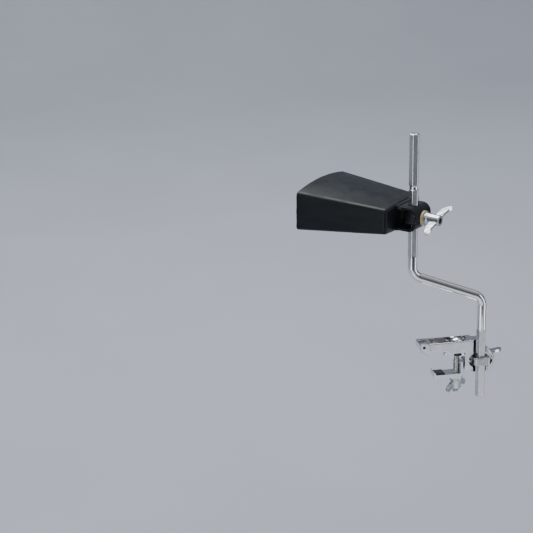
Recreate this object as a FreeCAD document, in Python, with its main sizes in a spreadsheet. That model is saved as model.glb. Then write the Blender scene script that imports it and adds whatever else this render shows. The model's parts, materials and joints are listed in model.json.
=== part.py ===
import FreeCAD, Part
import math
import os
import re
import Sketcher

# Cowbell with its strap clamp, bent Z-rod and drum-hoop clamp, in millimetres.
# Origin: where the arm's pad bears on the hoop's top edge. +Z is up, +X points outwards
# from the drum along the arm, and the rod lies on the -Y side of the arm.

SIZES = {
    # hoop clamp: arm
    "arm_width": (19.0, "width of the cast arm, along Y"),
    "arm_top": (10.5, "height of the arm's rim over the hoop's edge"),
    "arm_end_x": (-13.2, "upper corner of the arm's inner end"),
    "arm_end_low_x": (-11.6, "lower corner of the arm's inner end"),
    "arm_end_low_z": (3.2, "height of that corner"),
    "arm_under": (0.8, "underside of the arm over the hoop"),
    "arm_root_z": (-1.8, "underside of the arm beside the clamp bolt"),
    "arm_shelf": (9.5, "arm's overhang outside the leg's inner face"),
    "arm_edge": (0.9, "radius of the arm's upper edges"),
    "seat_rim": (1.2, "arm inside the seat pad"),
    "rim_wall": (1.6, "rim round the trough in the arm's top"),
    "trough_corner": (2.2, "corner radius of the trough"),
    "trough_depth": (3.3, "depth of the trough"),
    "trough_in_x": (-10.5, "inner end of the trough"),
    "trough_out_x": (29.0, "outer end of the trough"),
    "leg_in_x": (25.0, "inner face of the arm's outer leg"),
    "leg_bottom": (-20.5, "lower edge of the leg"),
    "leg_depth": (14.0, "thickness of leg and disc, along Y"),
    "lip_in_x": (4.5, "outer lip: start of its slope"),
    "lip_tip_x": (10.5, "outer lip: inner edge of its tip"),
    "lip_out_x": (13.2, "outer lip: outer face"),
    "lip_step": (0.6, "outer lip: foot of its slope, along X"),
    "lip_step_drop": (1.2, "outer lip: foot of its slope, downwards"),
    "lip_drop": (-7.2, "outer lip: height of its tip"),
    "tongue_x": (-21.2, "end of the tongue that carries the jaw"),
    "tongue_width": (8.0, "width of that tongue"),
    "tongue_low": (4.4, "underside of the tongue"),
    "tongue_high": (9.4, "top of the tongue"),
    # rod clamp on the arm
    "rod_x": (41.5, "axis of the rod's lower leg"),
    "rod_inset": (1.0, "rod axis behind the arm's front face"),
    "grip_z": (-11.0, "height of the rod clamp's axis"),
    "disc_r": (14.5, "radius of the disc behind the rod"),
    "pocket_half": (12.7, "half length of the disc's pocket"),
    "pocket_r": (7.4, "half height of the pocket"),
    "pocket_depth": (9.5, "depth of the pocket from the front face"),
    "disc_bevel": (1.1, "bevel round the disc's front edge"),
    # jaw, pads and screws
    "jaw_x": (-22.0, "inner face of the jaw"),
    "jaw_top": (10.9, "top of the jaw"),
    "jaw_shoulder": (4.6, "lower end of the jaw's inner face"),
    "jaw_tip_z": (-2.6, "tip of the jaw's tooth"),
    "jaw_tip_x": (-13.9, "inner corner of the tooth's tip"),
    "jaw_tooth": (1.8, "thickness of the tooth at its tip"),
    "jaw_knee": (2.6, "jaw's lower knee, along X"),
    "jaw_knee_drop": (2.4, "jaw's lower knee, downwards"),
    "jaw_slope": (0.4, "fall of the jaw's top towards the arm"),
    "jaw_edge": (1.2, "bevel on the jaw's upper corners"),
    "jaw_bevel": (0.7, "bevel on the jaw's long edges"),
    "jaw_inset": (0.3, "jaw's side face inside the arm's"),
    "jaw_pin_x": (-18.4, "axis of the jaw pin"),
    "jaw_pin_z": (7.1, "height of the jaw pin"),
    "jaw_pin_r": (1.5, "radius of the jaw pin"),
    "pin_recess": (0.8, "jaw pin below the jaw's side faces"),
    "pin_bevel": (0.3, "bevel on the jaw pin's ends"),
    "pad_in_x": (-7.2, "inner end of the seat pad"),
    "pad_out_x": (3.8, "outer end of the seat pad"),
    "pad_width": (14.0, "width of the seat pad"),
    "pad_height": (3.4, "height of the seat pad"),
    "pad_skin": (0.8, "rubber left under the pad screw's hole"),
    "pad_corner": (1.2, "corner radius of the seat pad"),
    "pad_groove": (0.5, "depth of the grooves in the pad's foot"),
    "groove_width": (1.0, "width of a groove"),
    "groove_margin": (2.2, "pad outside its first and last groove"),
    "screw_x": (-4.4, "axis of the pad screw"),
    "screw_r": (1.5, "radius of the pad screw's shank"),
    "screw_head_r": (3.0, "radius of the pad screw's head"),
    "screw_head": (2.1, "height of the pad screw's head"),
    "screw_crown": (0.9, "height of the head's slope"),
    "screw_top_r": (1.9, "radius of the head's flat top"),
    "screw_room": (0.4, "room between the screw's end and its hole's end"),
    "cross_half": (1.8, "half length of the cross recess"),
    "cross_slot": (0.4, "half width of its slots"),
    "cross_deep": (1.2, "depth of the cross recess"),
    # clamp bolt
    "bolt_x": (18.5, "axis of the clamp bolt"),
    "bolt_r": (3.0, "radius of every bolt's shank"),
    "dome_r": (7.0, "radius of the clamp bolt's dome head"),
    "dome_rise": (3.4, "height of the dome head"),
    "dome_edge": (0.5, "height of the dome head's edge"),
    "bolt_bevel": (0.7, "bevel on the clamp bolt's end"),
    "neck_side": (6.0, "side of the clamp bolt's square neck"),
    "neck_length": (5.0, "length of the square neck"),
    "bolt_end": (-46.0, "lower end of the clamp bolt"),
    "head_ring_r": (7.8, "radius of the washer under the dome head"),
    "head_ring": (1.2, "thickness of that washer"),
    "small_bevel": (0.4, "bevel on turned edges"),
    "nut_bevel": (0.5, "bevel on the lock nut's lower edges"),
    "lock_nut_flats": (10.0, "width across flats of the lock nut"),
    "lock_nut_height": (5.0, "height of the lock nut"),
    # claw
    "claw_width": (15.0, "width of the claw, along Y"),
    "claw_gap": (23.0, "hoop height between both pads"),
    "claw_pad_height": (2.5, "thickness of the claw pad"),
    "claw_pad_sunk": (1.0, "part of the claw pad in its recess"),
    "pad_round": (0.8, "radius of the claw pad's upper edges"),
    "claw_tip_x": (-6.5, "inner end of the claw"),
    "claw_pad_out_x": (5.0, "outer end of the claw pad"),
    "claw_tip_height": (2.6, "hook at the claw's inner end over its floor"),
    "claw_floor": (3.6, "thickness of the claw's foot at its inner end"),
    "claw_hub": (6.2, "thickness of the claw's foot at the bolt"),
    "claw_back": (3.4, "thickness of the claw's upright plate"),
    "claw_leg_gap": (0.8, "gap between the claw's plate and the arm's leg"),
    "claw_plate_top": (-11.5, "top of the claw's upright plate"),
    "claw_edge": (1.2, "bevels on the claw's ends"),
    "claw_nose": (1.6, "length of the bevel under the claw's inner end"),
    "claw_hook": (2.0, "foot of the hook at the claw's inner end"),
    "claw_hook_top": (1.0, "top of that hook"),
    "hub_in": (6.6, "claw's hub, towards the hoop"),
    "hub_out": (2.2, "claw's hub, towards the plate"),
    "hub_run": (2.9, "slope from the foot to the hub"),
    "hub_heel": (1.4, "heel of the claw's plate below its floor"),
    "claw_bevel": (0.8, "bevel on the claw's long edges"),
    "washer_land": (0.6, "flat round the claw's washer"),
    "pad_frame": (1.2, "claw beside its pad"),
    # washers and nuts
    "washer_r": (6.4, "radius of the steel washers"),
    "washer": (1.2, "thickness of the steel washers"),
    "lock_ring_r": (5.4, "radius of the split lock washer"),
    "lock_ring": (1.5, "thickness of the split lock washer"),
    "slit_lean": (0.45, "lean of the lock washer's slit"),
    "slit_width": (0.8, "width of the slit"),
    "fibre_r": (7.6, "radius of the fibre washer"),
    "fibre": (2.6, "thickness of the fibre washer"),
    "seat_gap": (0.05, "gap between a wing nut's foot and its washer"),
    "nut_foot_r": (6.3, "radius of a wing nut's foot"),
    "nut_hub_r": (5.4, "radius of a wing nut's hub at its top"),
    "nut_foot": (1.6, "height of a wing nut's foot"),
    "nut_cone": (0.9, "height of the cone from foot to hub"),
    "wing_sunk": (1.0, "wing inside the hub's outline"),
    "wing_thick": (2.6, "thickness of a wing"),
    "wing_root": (8.4, "depth of a wing where it leaves the hub"),
    "wing_tip": (5.6, "depth of a wing at its tip"),
    "wing_rise": (0.9, "tip of a wing beyond the hub's end"),
    "wing_round": (3.2, "radius of a wing's tip"),
    "wing_slope": (1.3, "difference in reach of the tip's two corners"),
    "wing_shoulder": (1.2, "wing below the hub's end at its root"),
    "rod_nut_height": (12.0, "height of the rod clamp's nut"),
    "rod_nut_span": (62.0, "span of its wings"),
    "bell_nut_height": (15.0, "height of the bell clamp's nut"),
    "bell_nut_span": (52.0, "span of its wings"),
    "claw_nut_height": (10.0, "height of the claw's nut"),
    "claw_nut_span": (34.0, "span of its wings"),
    "rod_nut_roll": (0.0, "rest angle of the rod nut's wings"),
    "bell_nut_roll": (17.0, "rest angle of the bell nut's wings"),
    "claw_nut_roll": (50.0, "rest angle of the claw nut's wings"),
    # eye bolts
    "eye_half": (8.5, "half width of an eye"),
    "eye_wall": (2.7, "metal in front of the rod"),
    "eye_corner": (3.2, "corner radius of an eye"),
    "eye_land": (0.2, "eye's flat end before its half width"),
    "eye_edge": (0.9, "radius of an eye's upper and lower edges"),
    "shank_bevel": (0.6, "bevel on an eye bolt's end"),
    "eye_travel": (1.2, "room in an eye for slackening it"),
    "eye_gap": (0.1, "gap between the rod's corners and an eye"),
    "rod_eye_height": (8.1, "height of the rod clamp's eye"),
    "bell_eye_room": (3.0, "room over and under the bell clamp's eye in its strap"),
    "bolt_show": (1.6, "bolt end beyond the rod clamp's nut"),
    "bell_bolt_sunk": (3.0, "bolt end inside the bell clamp's nut"),
    # rod
    "rod_r": (4.75, "radius of the rod's round lengths"),
    "rod_flats": (9.0, "rod width across the pressed flats"),
    "bend_r": (12.5, "bend radius of the rod's centre line"),
    "upper_x": (-32.0, "axis of the rod's upper leg"),
    "lower_bend_z": (56.0, "corner of the lower bend"),
    "upper_bend_z": (85.0, "corner of the upper bend"),
    "rod_bottom": (-50.0, "lower end of the rod"),
    "lower_hex_top": (22.5, "top of the lower pressed length"),
    "upper_hex_low": (104.0, "start of the upper pressed length"),
    "neck_z": (174.0, "start of the round neck"),
    "neck_tall": (4.0, "length of the round neck"),
    "neck_r": (4.2, "radius of the round neck"),
    "rod_top": (231.0, "upper end of the rod"),
    "rod_chamfer": (0.9, "chamfer on the rod's ends"),
    # bell
    "bell_z": (146.4, "height of the bell's axis"),
    "bell_turn": (134.0, "direction of the bell's mouth, from +X"),
    "crown_x": (11.5, "closed end of the bell from the rod's axis"),
    "bell_length": (95.5, "length of the bell"),
    "mouth_width": (93.0, "width of the mouth"),
    "mouth_side": (38.4, "height of the mouth's narrow sides"),
    "mouth_crown": (5.0, "rise of the mouth's upper and lower face"),
    "end_width": (70.0, "width of the closed end"),
    "end_side": (25.8, "height of the closed end's narrow sides"),
    "end_crown": (1.4, "rise of the closed end's faces"),
    "bell_wall": (1.5, "bell sheet"),
    "bell_corner": (4.5, "radius of the bell's long edges"),
    "bell_fold": (3.6, "radius round the closed end"),
    "seam_half": (0.9, "half width of the seam weld"),
    "seam_rise": (0.35, "seam weld over the sheet"),
    "seam_end": (0.6, "seam weld short of the mouth"),
    # strap
    "strap_out": (11.5, "end plate's outer face from the rod's axis"),
    "strap_sheet": (2.5, "strap sheet"),
    "strap_height": (24.0, "outer height of the strap"),
    "strap_width": (30.0, "width of the strap"),
    "strap_corner": (9.0, "outer corner radius of the strap"),
    "strap_lap": (3.4, "strap's ends beyond the closed end's plane"),
    "weld_r": (1.7, "radius of the strap's weld beads"),
    "weld_set": (0.2, "bead's centre outside the corner that it fills"),
    "weld_margin": (2.0, "strap beside each end of a bead"),
    # clearances
    "slide_gap": (0.08, "gap of a rod or shaft that slides or turns in its seat"),
    "hole_gap": (0.25, "gap of a bolt in a clearance hole"),
    "rod_hole_gap": (0.35, "gap between the rod's corners and the strap's holes"),
    "nut_gap": (0.05, "gap between a nut's bore and its bolt"),
    "fit_gap": (0.1, "gap of pads and the jaw in their seats"),
    "shank_gap": (0.08, "gap of the clamp bolt's round shank in the arm's hole"),
    # a size that follows others, and can be set to a number of its own
    "bell_eye_height": ("=strap_height - 2 * strap_sheet - 2 * bell_eye_room",
                        "height of the bell clamp's eye"),
}

doc = FreeCAD.newDocument("cowbell")
sheet = doc.addObject("Spreadsheet::Sheet", "Sizes")
for row, (alias, (value, meaning)) in enumerate(SIZES.items(), start=1):
    sheet.set("A%d" % row, alias)
    sheet.set("B%d" % row, str(value))
    sheet.setAlias("B%d" % row, alias)
    sheet.set("C%d" % row, meaning)
doc.recompute()

# Places that several pieces share, as expressions of the sheet's cells.
FRONT = "(-arm_width / 2)"
ROD_Y = "(-arm_width / 2 + rod_inset)"
PLATE_BACK = "(-arm_width / 2 + leg_depth)"
TROUGH_FLOOR = "(arm_top - trough_depth)"
HEX_R = "(rod_flats / sqrt(3))"
EYE_R = "(rod_flats / sqrt(3) + eye_gap)"
HOLE_R = "(bolt_r + hole_gap)"
CLAW_PAD_TOP = "(-claw_gap)"
CLAW_FLOOR_Z = "(-claw_gap - claw_pad_height + claw_pad_sunk)"
NECK_HALF = "(neck_side / 2)"
CLAW_FOOT_Z = "(-claw_gap - claw_pad_height + claw_pad_sunk - claw_hub)"
CLAW_BACK_X = "(leg_in_x - claw_leg_gap)"
MOUTH_X = "(crown_x + bell_length)"

# Straight steps round the quarter circle of the bell's folded closed end.
FOLD_STEPS = 4

parts = []


def named(expression):
    """the expression with each alias written as a cell of the sheet"""
    return re.sub(r"\b[a-z]\w*\b",
                  lambda m: "Sizes." + m.group() if m.group() in SIZES else m.group(), expression)


def num(expression):
    """present value of an expression"""
    return float(sheet.evalExpression(expression))


def bind(obj, prop, expression):
    obj.setExpression(prop, named(expression))


def refresh(body, feature, *sketches):
    """makes a feature the body's tip and works out what it needs"""
    body.Tip = feature
    for obj in sketches + (feature, body):
        obj.recompute()
    return feature


def keep(obj, label, place=None):
    """labels a finished sub-part and puts it in its place"""
    obj.Label = label
    if place:
        base, rotation = place
        obj.Placement = FreeCAD.Placement(FreeCAD.Vector(*[num(c) for c in base]), rotation)
        for axis, expression in zip("xyz", base):
            bind(obj, ".Placement.Base." + axis, expression)
    parts.append(obj)
    return obj


def new_body(name):
    return doc.addObject("PartDesign::Body", name + "_body")


def new_sketch(body, plane, offset="0"):
    sketch = body.newObject("Sketcher::SketchObject", body.Name + "_sketch")
    support = [f for f in body.Origin.OriginFeatures if f.Role == plane][0]
    sketch.AttachmentSupport = [(support, "")]
    sketch.MapMode = "FlatFace"
    bind(sketch, ".AttachmentOffset.Base.z", offset)
    sketch.recompute()
    return sketch


def tie(sketch, geo, pos, x, y):
    """ties one point of a sketch to the sheet"""
    for kind, expression in (("DistanceX", x), ("DistanceY", y)):
        if expression is None:
            continue
        index = sketch.addConstraint(Sketcher.Constraint(kind, -1, 1, geo, pos, num(expression)))
        bind(sketch, "Constraints[%d]" % index, expression)


def add_circle(sketch, x, y, radius):
    centre = FreeCAD.Vector(num(x), num(y), 0)
    geo = sketch.addGeometry(Part.Circle(centre, FreeCAD.Vector(0, 0, 1), num(radius)), False)
    tie(sketch, geo, 3, x, y)
    index = sketch.addConstraint(Sketcher.Constraint("Radius", geo, num(radius)))
    bind(sketch, "Constraints[%d]" % index, radius)


def arc_middle(start, end, radius, side):
    """middle point of the arc from start to end that bulges right (+1) or left (-1)"""
    chord = end - start
    right = FreeCAD.Vector(chord.y, -chord.x, 0)
    right.normalize()
    half = chord.Length / 2
    rise = radius - math.sqrt(max(radius * radius - half * half, 0))
    return (start + end) * 0.5 + right * (rise * side)


def add_outline(sketch, corners):
    """closed outline; a corner is (x, y), or (x, y, radius, side) where the edge that leaves it is an arc"""
    spots = [FreeCAD.Vector(num(c[0]), num(c[1]), 0) for c in corners]
    ends = []
    for i, corner in enumerate(corners):
        start = spots[i]
        end = spots[(i + 1) % len(spots)]
        if len(corner) == 2:
            geo = sketch.addGeometry(Part.LineSegment(start, end), False)
            ends.append((geo, 1, 2))
            continue
        middle = arc_middle(start, end, num(corner[2]), corner[3])
        geo = sketch.addGeometry(Part.Arc(start, middle, end), False)
        forward = sketch.getPoint(geo, 1).distanceToPoint(start) < 1e-6
        ends.append((geo, 1, 2) if forward else (geo, 2, 1))
    for i, (geo, first, last) in enumerate(ends):
        after, after_first, _ = ends[(i + 1) % len(ends)]
        sketch.addConstraint(Sketcher.Constraint("Coincident", geo, last, after, after_first))
    for i, (geo, first, last) in enumerate(ends):
        tie(sketch, geo, first, corners[i][0], corners[i][1])
        if len(corners[i]) == 2:
            continue
        start = spots[i]
        end = spots[(i + 1) % len(spots)]
        half_circle = (end - start).Length > 1.999 * num(corners[i][2])
        if half_circle and abs(start.x - end.x) < 1e-6:
            tie(sketch, geo, 3, corners[i][0], None)
        elif half_circle:
            tie(sketch, geo, 3, None, corners[i][1])
        else:
            index = sketch.addConstraint(Sketcher.Constraint("Radius", geo, num(corners[i][2])))
            bind(sketch, "Constraints[%d]" % index, corners[i][2])


def add_rectangle(sketch, x_low, y_low, x_high, y_high):
    add_outline(sketch, [(x_low, y_low), (x_high, y_low), (x_high, y_high), (x_low, y_high)])


def add_slot(sketch, x_low, x_high, y, radius):
    """slot along the sketch's X between two end centres"""
    add_outline(sketch, [(x_low, "%s - %s" % (y, radius)),
                         (x_high, "%s - %s" % (y, radius), radius, 1),
                         (x_high, "%s + %s" % (y, radius)),
                         (x_low, "%s + %s" % (y, radius), radius, 1)])


def add_hexagon(sketch, x, y, flats):
    """hexagon with flats facing the sketch's -Y and +Y"""
    ring = []
    for cos, sin in ((2, 0), (1, 1), (-1, 1), (-2, 0), (-1, -1), (1, -1)):
        ring.append(("%s + %d * %s / (2 * sqrt(3))" % (x, cos, flats), "%s + %d * %s / 2" % (y, sin, flats)))
    add_outline(sketch, ring)


def pad(body, sketch, length, symmetric=False, backwards=False):
    feature = body.newObject("PartDesign::Pad", body.Name + "_pad")
    feature.Profile = sketch
    feature.SideType = "Symmetric" if symmetric else "One side"
    feature.Reversed = backwards
    bind(feature, "Length", length)
    return refresh(body, feature, sketch)


def pocket(body, sketch, length=None, backwards=False):
    """cuts against the sketch's normal, or along it when backwards, and proves that it cut"""
    before = body.Shape.Volume
    feature = body.newObject("PartDesign::Pocket", body.Name + "_pocket")
    feature.Profile = sketch
    feature.Reversed = backwards
    if length is None:
        feature.Type = "ThroughAll"
    else:
        bind(feature, "Length", length)
    refresh(body, feature, sketch)
    if body.Shape.Volume > before - 1e-3:
        raise RuntimeError(feature.Name + " cuts nothing")
    return feature


def revolve(body, sketch, axis):
    feature = body.newObject("PartDesign::Revolution", body.Name + "_turn")
    feature.Profile = sketch
    feature.ReferenceAxis = (sketch, [axis])
    feature.Angle = 360
    return refresh(body, feature, sketch)


def picked(shape, test):
    return ["Edge%d" % (i + 1) for i, edge in enumerate(shape.Edges) if test(edge)]


def dress(body, kind, size, test):
    """fillet or chamfer on the edges of the body that pass the test"""
    base = body.Tip
    names = picked(base.Shape, test)
    if not names:
        raise RuntimeError(body.Name + " has no edge to dress")
    feature = body.newObject("PartDesign::" + kind, body.Name + "_" + kind.lower())
    feature.Base = (base, names)
    bind(feature, "Radius" if kind == "Fillet" else "Size", size)
    refresh(body, feature)
    if "Invalid" in feature.State or feature.Shape.isNull():
        raise RuntimeError(feature.Name + " failed")
    return feature


def runs_along(edge, axis):
    """true for a straight edge parallel to the axis"""
    if not isinstance(edge.Curve, Part.Line):
        return False
    direction = edge.Vertexes[-1].Point - edge.Vertexes[0].Point
    direction.normalize()
    return abs(direction.dot(axis)) > 0.999


def near(value, expression):
    return abs(value - num(expression)) < 0.02


X = FreeCAD.Vector(1, 0, 0)
Y = FreeCAD.Vector(0, 1, 0)
Z = FreeCAD.Vector(0, 0, 1)


def turned(name, profile):
    """piece turned about its own X axis from an outline of (x, radius) corners"""
    body = new_body(name)
    sketch = new_sketch(body, "XY_Plane")
    add_outline(sketch, profile)
    revolve(body, sketch, "H_Axis")
    return body


def ring(name, outer, inner, thickness):
    """washer that stands on its own YZ plane and faces +X"""
    return turned(name, [("0", inner), (thickness, inner), (thickness, outer), ("0", outer)])


# Directions that a bolt, washer or nut made along +X can be aimed in.
BELL_TURN = FreeCAD.Rotation(Z, num("bell_turn"))
AWAY_FROM_BELL = FreeCAD.Rotation(Z, num("bell_turn") + 180)
TO_BACK = FreeCAD.Rotation(Z, 90)
DOWN = FreeCAD.Rotation(Y, 90)

BELL_BASE = ("upper_x", ROD_Y, "bell_z")
BELL_PLACE = (BELL_BASE, BELL_TURN)
GRIP_PLACE = (("rod_x", ROD_Y, "grip_z"), TO_BACK)
BOLT_PLACE = (("bolt_x", "0", "0"), FreeCAD.Rotation())


def beyond_strap(distance):
    """place on the bell's bolt, a distance beyond the rod's axis, facing away from the bell"""
    x = "upper_x + (%s) * cos((bell_turn + 180) * 1deg)" % distance
    y = "%s + (%s) * sin((bell_turn + 180) * 1deg)" % (ROD_Y, distance)
    return ((x, y, "bell_z"), AWAY_FROM_BELL)


def behind_disc(distance):
    """place on the rod clamp's bolt, a distance behind the leg's back face, facing back"""
    return (("rod_x", "%s + %s" % (PLATE_BACK, distance), "grip_z"), TO_BACK)


# ---------------------------------------------------------------- hoop clamp

def make_clamp_arm():
    body = new_body("clamp_arm")
    beam = new_sketch(body, "XZ_Plane")
    add_outline(beam, [("arm_end_low_x", "arm_end_low_z"), ("pad_in_x - seat_rim", "arm_under"),
                       ("lip_in_x", "arm_under"), ("lip_in_x + lip_step", "arm_under - lip_step_drop"),
                       ("lip_tip_x", "lip_drop"), ("lip_out_x", "lip_drop"),
                       ("lip_out_x", "arm_root_z"), ("leg_in_x", "arm_root_z"),
                       ("leg_in_x", "-arm_under"), ("leg_in_x + arm_shelf", "-arm_under"),
                       ("leg_in_x + arm_shelf", "arm_top"), ("arm_end_x", "arm_top")])
    pad(body, beam, "arm_width", symmetric=True)
    leg = new_sketch(body, "XZ_Plane", "arm_width / 2")
    add_outline(leg, [("leg_in_x", "leg_bottom"), ("rod_x", "leg_bottom"), ("rod_x", "arm_top"),
                      ("leg_in_x", "arm_top")])
    pad(body, leg, "leg_depth", backwards=True)
    disc = new_sketch(body, "XZ_Plane", "arm_width / 2")
    add_circle(disc, "rod_x", "grip_z", "disc_r")
    pad(body, disc, "leg_depth", backwards=True)
    tongue = new_sketch(body, "XZ_Plane")
    add_rectangle(tongue, "tongue_x", "tongue_low", "arm_end_low_x", "tongue_high")
    pad(body, tongue, "tongue_width", symmetric=True)
    dress(body, "Chamfer", "disc_bevel",
          lambda e: near(e.CenterOfMass.y, FRONT) and e.CenterOfMass.x > num("rod_x"))
    dress(body, "Fillet", "arm_edge", lambda e: near(e.CenterOfMass.z, "arm_top") and runs_along(e, X)
          and abs(e.CenterOfMass.y) > num("arm_width / 2 - 0.1") and e.Length > 10)
    trough = new_sketch(body, "XY_Plane", "arm_top")
    add_rectangle(trough, "trough_in_x", "-arm_width / 2 + rim_wall",
                  "trough_out_x", "arm_width / 2 - rim_wall")
    pocket(body, trough, "trough_depth")
    dress(body, "Fillet", "trough_corner", lambda e: runs_along(e, Z) and e.CenterOfMass.z > num(TROUGH_FLOOR)
          and abs(abs(e.CenterOfMass.y) - num("arm_width / 2 - rim_wall")) < 0.02)
    groove = new_sketch(body, "XY_Plane", "arm_top + 1")
    reach = "(%s + slide_gap) * cos(15deg) * sqrt(2)" % HEX_R
    add_outline(groove, [("rod_x - %s - rod_r" % reach, ROD_Y + " - rod_r"),
                         ("rod_x + %s + rod_r" % reach, ROD_Y + " - rod_r"),
                         ("rod_x", "%s + %s" % (ROD_Y, reach))])
    pocket(body, groove)
    hollow = new_sketch(body, "XZ_Plane", "arm_width / 2")
    add_slot(hollow, "(rod_x - pocket_half + pocket_r)", "(rod_x + pocket_half - pocket_r)",
             "grip_z", "pocket_r")
    pocket(body, hollow, "pocket_depth")
    holes = new_sketch(body, "XZ_Plane", "arm_width / 2")
    add_circle(holes, "rod_x", "grip_z", HOLE_R)
    pocket(body, holes)
    seat = new_sketch(body, "XY_Plane", "arm_under - 5")
    add_rectangle(seat, "pad_in_x - fit_gap", "-pad_width / 2 - fit_gap", "pad_out_x + fit_gap",
                  "pad_width / 2 + fit_gap")
    pocket(body, seat, "pad_height + 5 - arm_under + fit_gap", backwards=True)
    # The bolt's hole clears its round shank as well as its square neck.
    shank = new_sketch(body, "XY_Plane", "arm_top")
    add_circle(shank, "bolt_x", "0", "bolt_r + shank_gap")
    pocket(body, shank)
    neck = new_sketch(body, "XY_Plane", "arm_top")
    half = "(%s + fit_gap)" % NECK_HALF
    add_rectangle(neck, "bolt_x - " + half, "-" + half, "bolt_x + " + half, half)
    pocket(body, neck)
    small = new_sketch(body, "XY_Plane", "arm_top")
    add_circle(small, "screw_x", "0", "screw_r + fit_gap")
    pocket(body, small)
    pin = new_sketch(body, "XZ_Plane", "arm_width / 2")
    add_circle(pin, "jaw_pin_x", "jaw_pin_z", "jaw_pin_r + nut_gap")
    pocket(body, pin)
    return keep(body, "clamp_arm")


def make_inner_jaw():
    body = new_body("inner_jaw")
    side = new_sketch(body, "XZ_Plane")
    add_outline(side, [("jaw_x", "jaw_shoulder"), ("jaw_x + jaw_knee", "jaw_shoulder - jaw_knee_drop"),
                       ("jaw_tip_x", "jaw_tip_z"), ("jaw_tip_x + jaw_tooth", "jaw_tip_z"),
                       ("arm_end_low_x - fit_gap", "arm_end_low_z"),
                       ("arm_end_x - fit_gap", "jaw_top - jaw_slope"),
                       ("arm_end_x - jaw_edge", "jaw_top"), ("jaw_x + jaw_edge", "jaw_top"),
                       ("jaw_x", "jaw_top - jaw_edge")])
    pad(body, side, "arm_width - 2 * jaw_inset", symmetric=True)
    dress(body, "Chamfer", "jaw_bevel",
          lambda e: abs(abs(e.CenterOfMass.y) - num("arm_width / 2 - jaw_inset")) < 0.01
          and e.CenterOfMass.x < num("arm_end_x - 1"))
    slot = new_sketch(body, "XY_Plane", "jaw_top")
    half = "(tongue_width / 2 + fit_gap)"
    add_rectangle(slot, "tongue_x - fit_gap", "-" + half, "arm_end_low_x + 1", half)
    pocket(body, slot, "jaw_top - tongue_low + fit_gap")
    pin = new_sketch(body, "XZ_Plane", "arm_width / 2")
    add_circle(pin, "jaw_pin_x", "jaw_pin_z", "jaw_pin_r + nut_gap")
    pocket(body, pin)
    return keep(body, "inner_jaw")


def make_jaw_pin():
    body = new_body("jaw_pin")
    sketch = new_sketch(body, "XZ_Plane")
    add_circle(sketch, "0", "0", "jaw_pin_r")
    pad(body, sketch, "arm_width - 2 * jaw_inset - 2 * pin_recess", symmetric=True)
    dress(body, "Chamfer", "pin_bevel", lambda e: isinstance(e.Curve, Part.Circle))
    return keep(body, "jaw_pin", (("jaw_pin_x", "0", "jaw_pin_z"), FreeCAD.Rotation()))


def make_seat_pad():
    body = new_body("seat_pad")
    foot = new_sketch(body, "XY_Plane")
    add_rectangle(foot, "pad_in_x", "-pad_width / 2", "pad_out_x", "pad_width / 2")
    pad(body, foot, "pad_height")
    dress(body, "Fillet", "pad_corner", lambda e: runs_along(e, Z))
    groove = new_sketch(body, "XZ_Plane")
    add_rectangle(groove, "pad_in_x + groove_margin", "-1",
                  "pad_in_x + groove_margin + groove_width", "pad_groove")
    first = pocket_both_ways(body, groove)
    repeat = body.newObject("PartDesign::LinearPattern", "seat_pad_grooves")
    repeat.Originals = [first]
    repeat.Direction = (groove, ["H_Axis"])
    bind(repeat, "Length", "pad_out_x - pad_in_x - 2 * groove_margin - groove_width")
    repeat.Occurrences = 4
    refresh(body, repeat)
    screw = new_sketch(body, "XY_Plane", "pad_height")
    add_circle(screw, "screw_x", "0", "screw_r")
    pocket(body, screw, "pad_height - pad_skin")
    return keep(body, "seat_pad")


def pocket_both_ways(body, sketch):
    """cuts right through the body on both sides of the sketch"""
    feature = body.newObject("PartDesign::Pocket", body.Name + "_groove")
    feature.Profile = sketch
    feature.SideType = "Symmetric"
    bind(feature, "Length", "2 * arm_width")
    return refresh(body, feature, sketch)


def make_pad_screw():
    body = turned("pad_screw", [("0", "0"), ("0", "screw_head_r"),
                                ("screw_head - screw_crown", "screw_head_r"),
                                ("screw_head", "screw_top_r"), ("screw_head", "0")])
    shank = new_sketch(body, "YZ_Plane")
    add_circle(shank, "0", "0", "screw_r")
    pad(body, shank, "arm_top - trough_depth - pad_skin - screw_room", backwards=True)
    cross = new_sketch(body, "YZ_Plane", "screw_head")
    arm = [("-cross_slot", "-cross_half"), ("cross_slot", "-cross_half"), ("cross_slot", "-cross_slot")]
    add_outline(cross, arm + [("cross_half", "-cross_slot"), ("cross_half", "cross_slot"),
                              ("cross_slot", "cross_slot"), ("cross_slot", "cross_half"),
                              ("-cross_slot", "cross_half"), ("-cross_slot", "cross_slot"),
                              ("-cross_half", "cross_slot"), ("-cross_half", "-cross_slot"),
                              ("-cross_slot", "-cross_slot")])
    pocket(body, cross, "cross_deep")
    return keep(body, "pad_screw", (("screw_x", "0", TROUGH_FLOOR), FreeCAD.Rotation(Y, -90)))


def make_clamp_bolt():
    dome = "(dome_r * dome_r + dome_rise * dome_rise) / (2 * dome_rise)"
    under = "(arm_top - trough_depth + head_ring)"
    body = new_body("clamp_bolt")
    profile = new_sketch(body, "XZ_Plane")
    add_outline(profile, [("0", "bolt_end"), ("bolt_r - bolt_bevel", "bolt_end"),
                          ("bolt_r", "bolt_end + bolt_bevel"),
                          ("bolt_r", under), ("dome_r", under), ("dome_r", under + " + dome_edge", dome, 1),
                          ("0", under + " + dome_edge + dome_rise")])
    revolve(body, profile, "V_Axis")
    neck = new_sketch(body, "XY_Plane", under)
    add_rectangle(neck, "-" + NECK_HALF, "-" + NECK_HALF, NECK_HALF, NECK_HALF)
    pad(body, neck, "head_ring + neck_length", backwards=True)
    return keep(body, "clamp_bolt", BOLT_PLACE)


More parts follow.
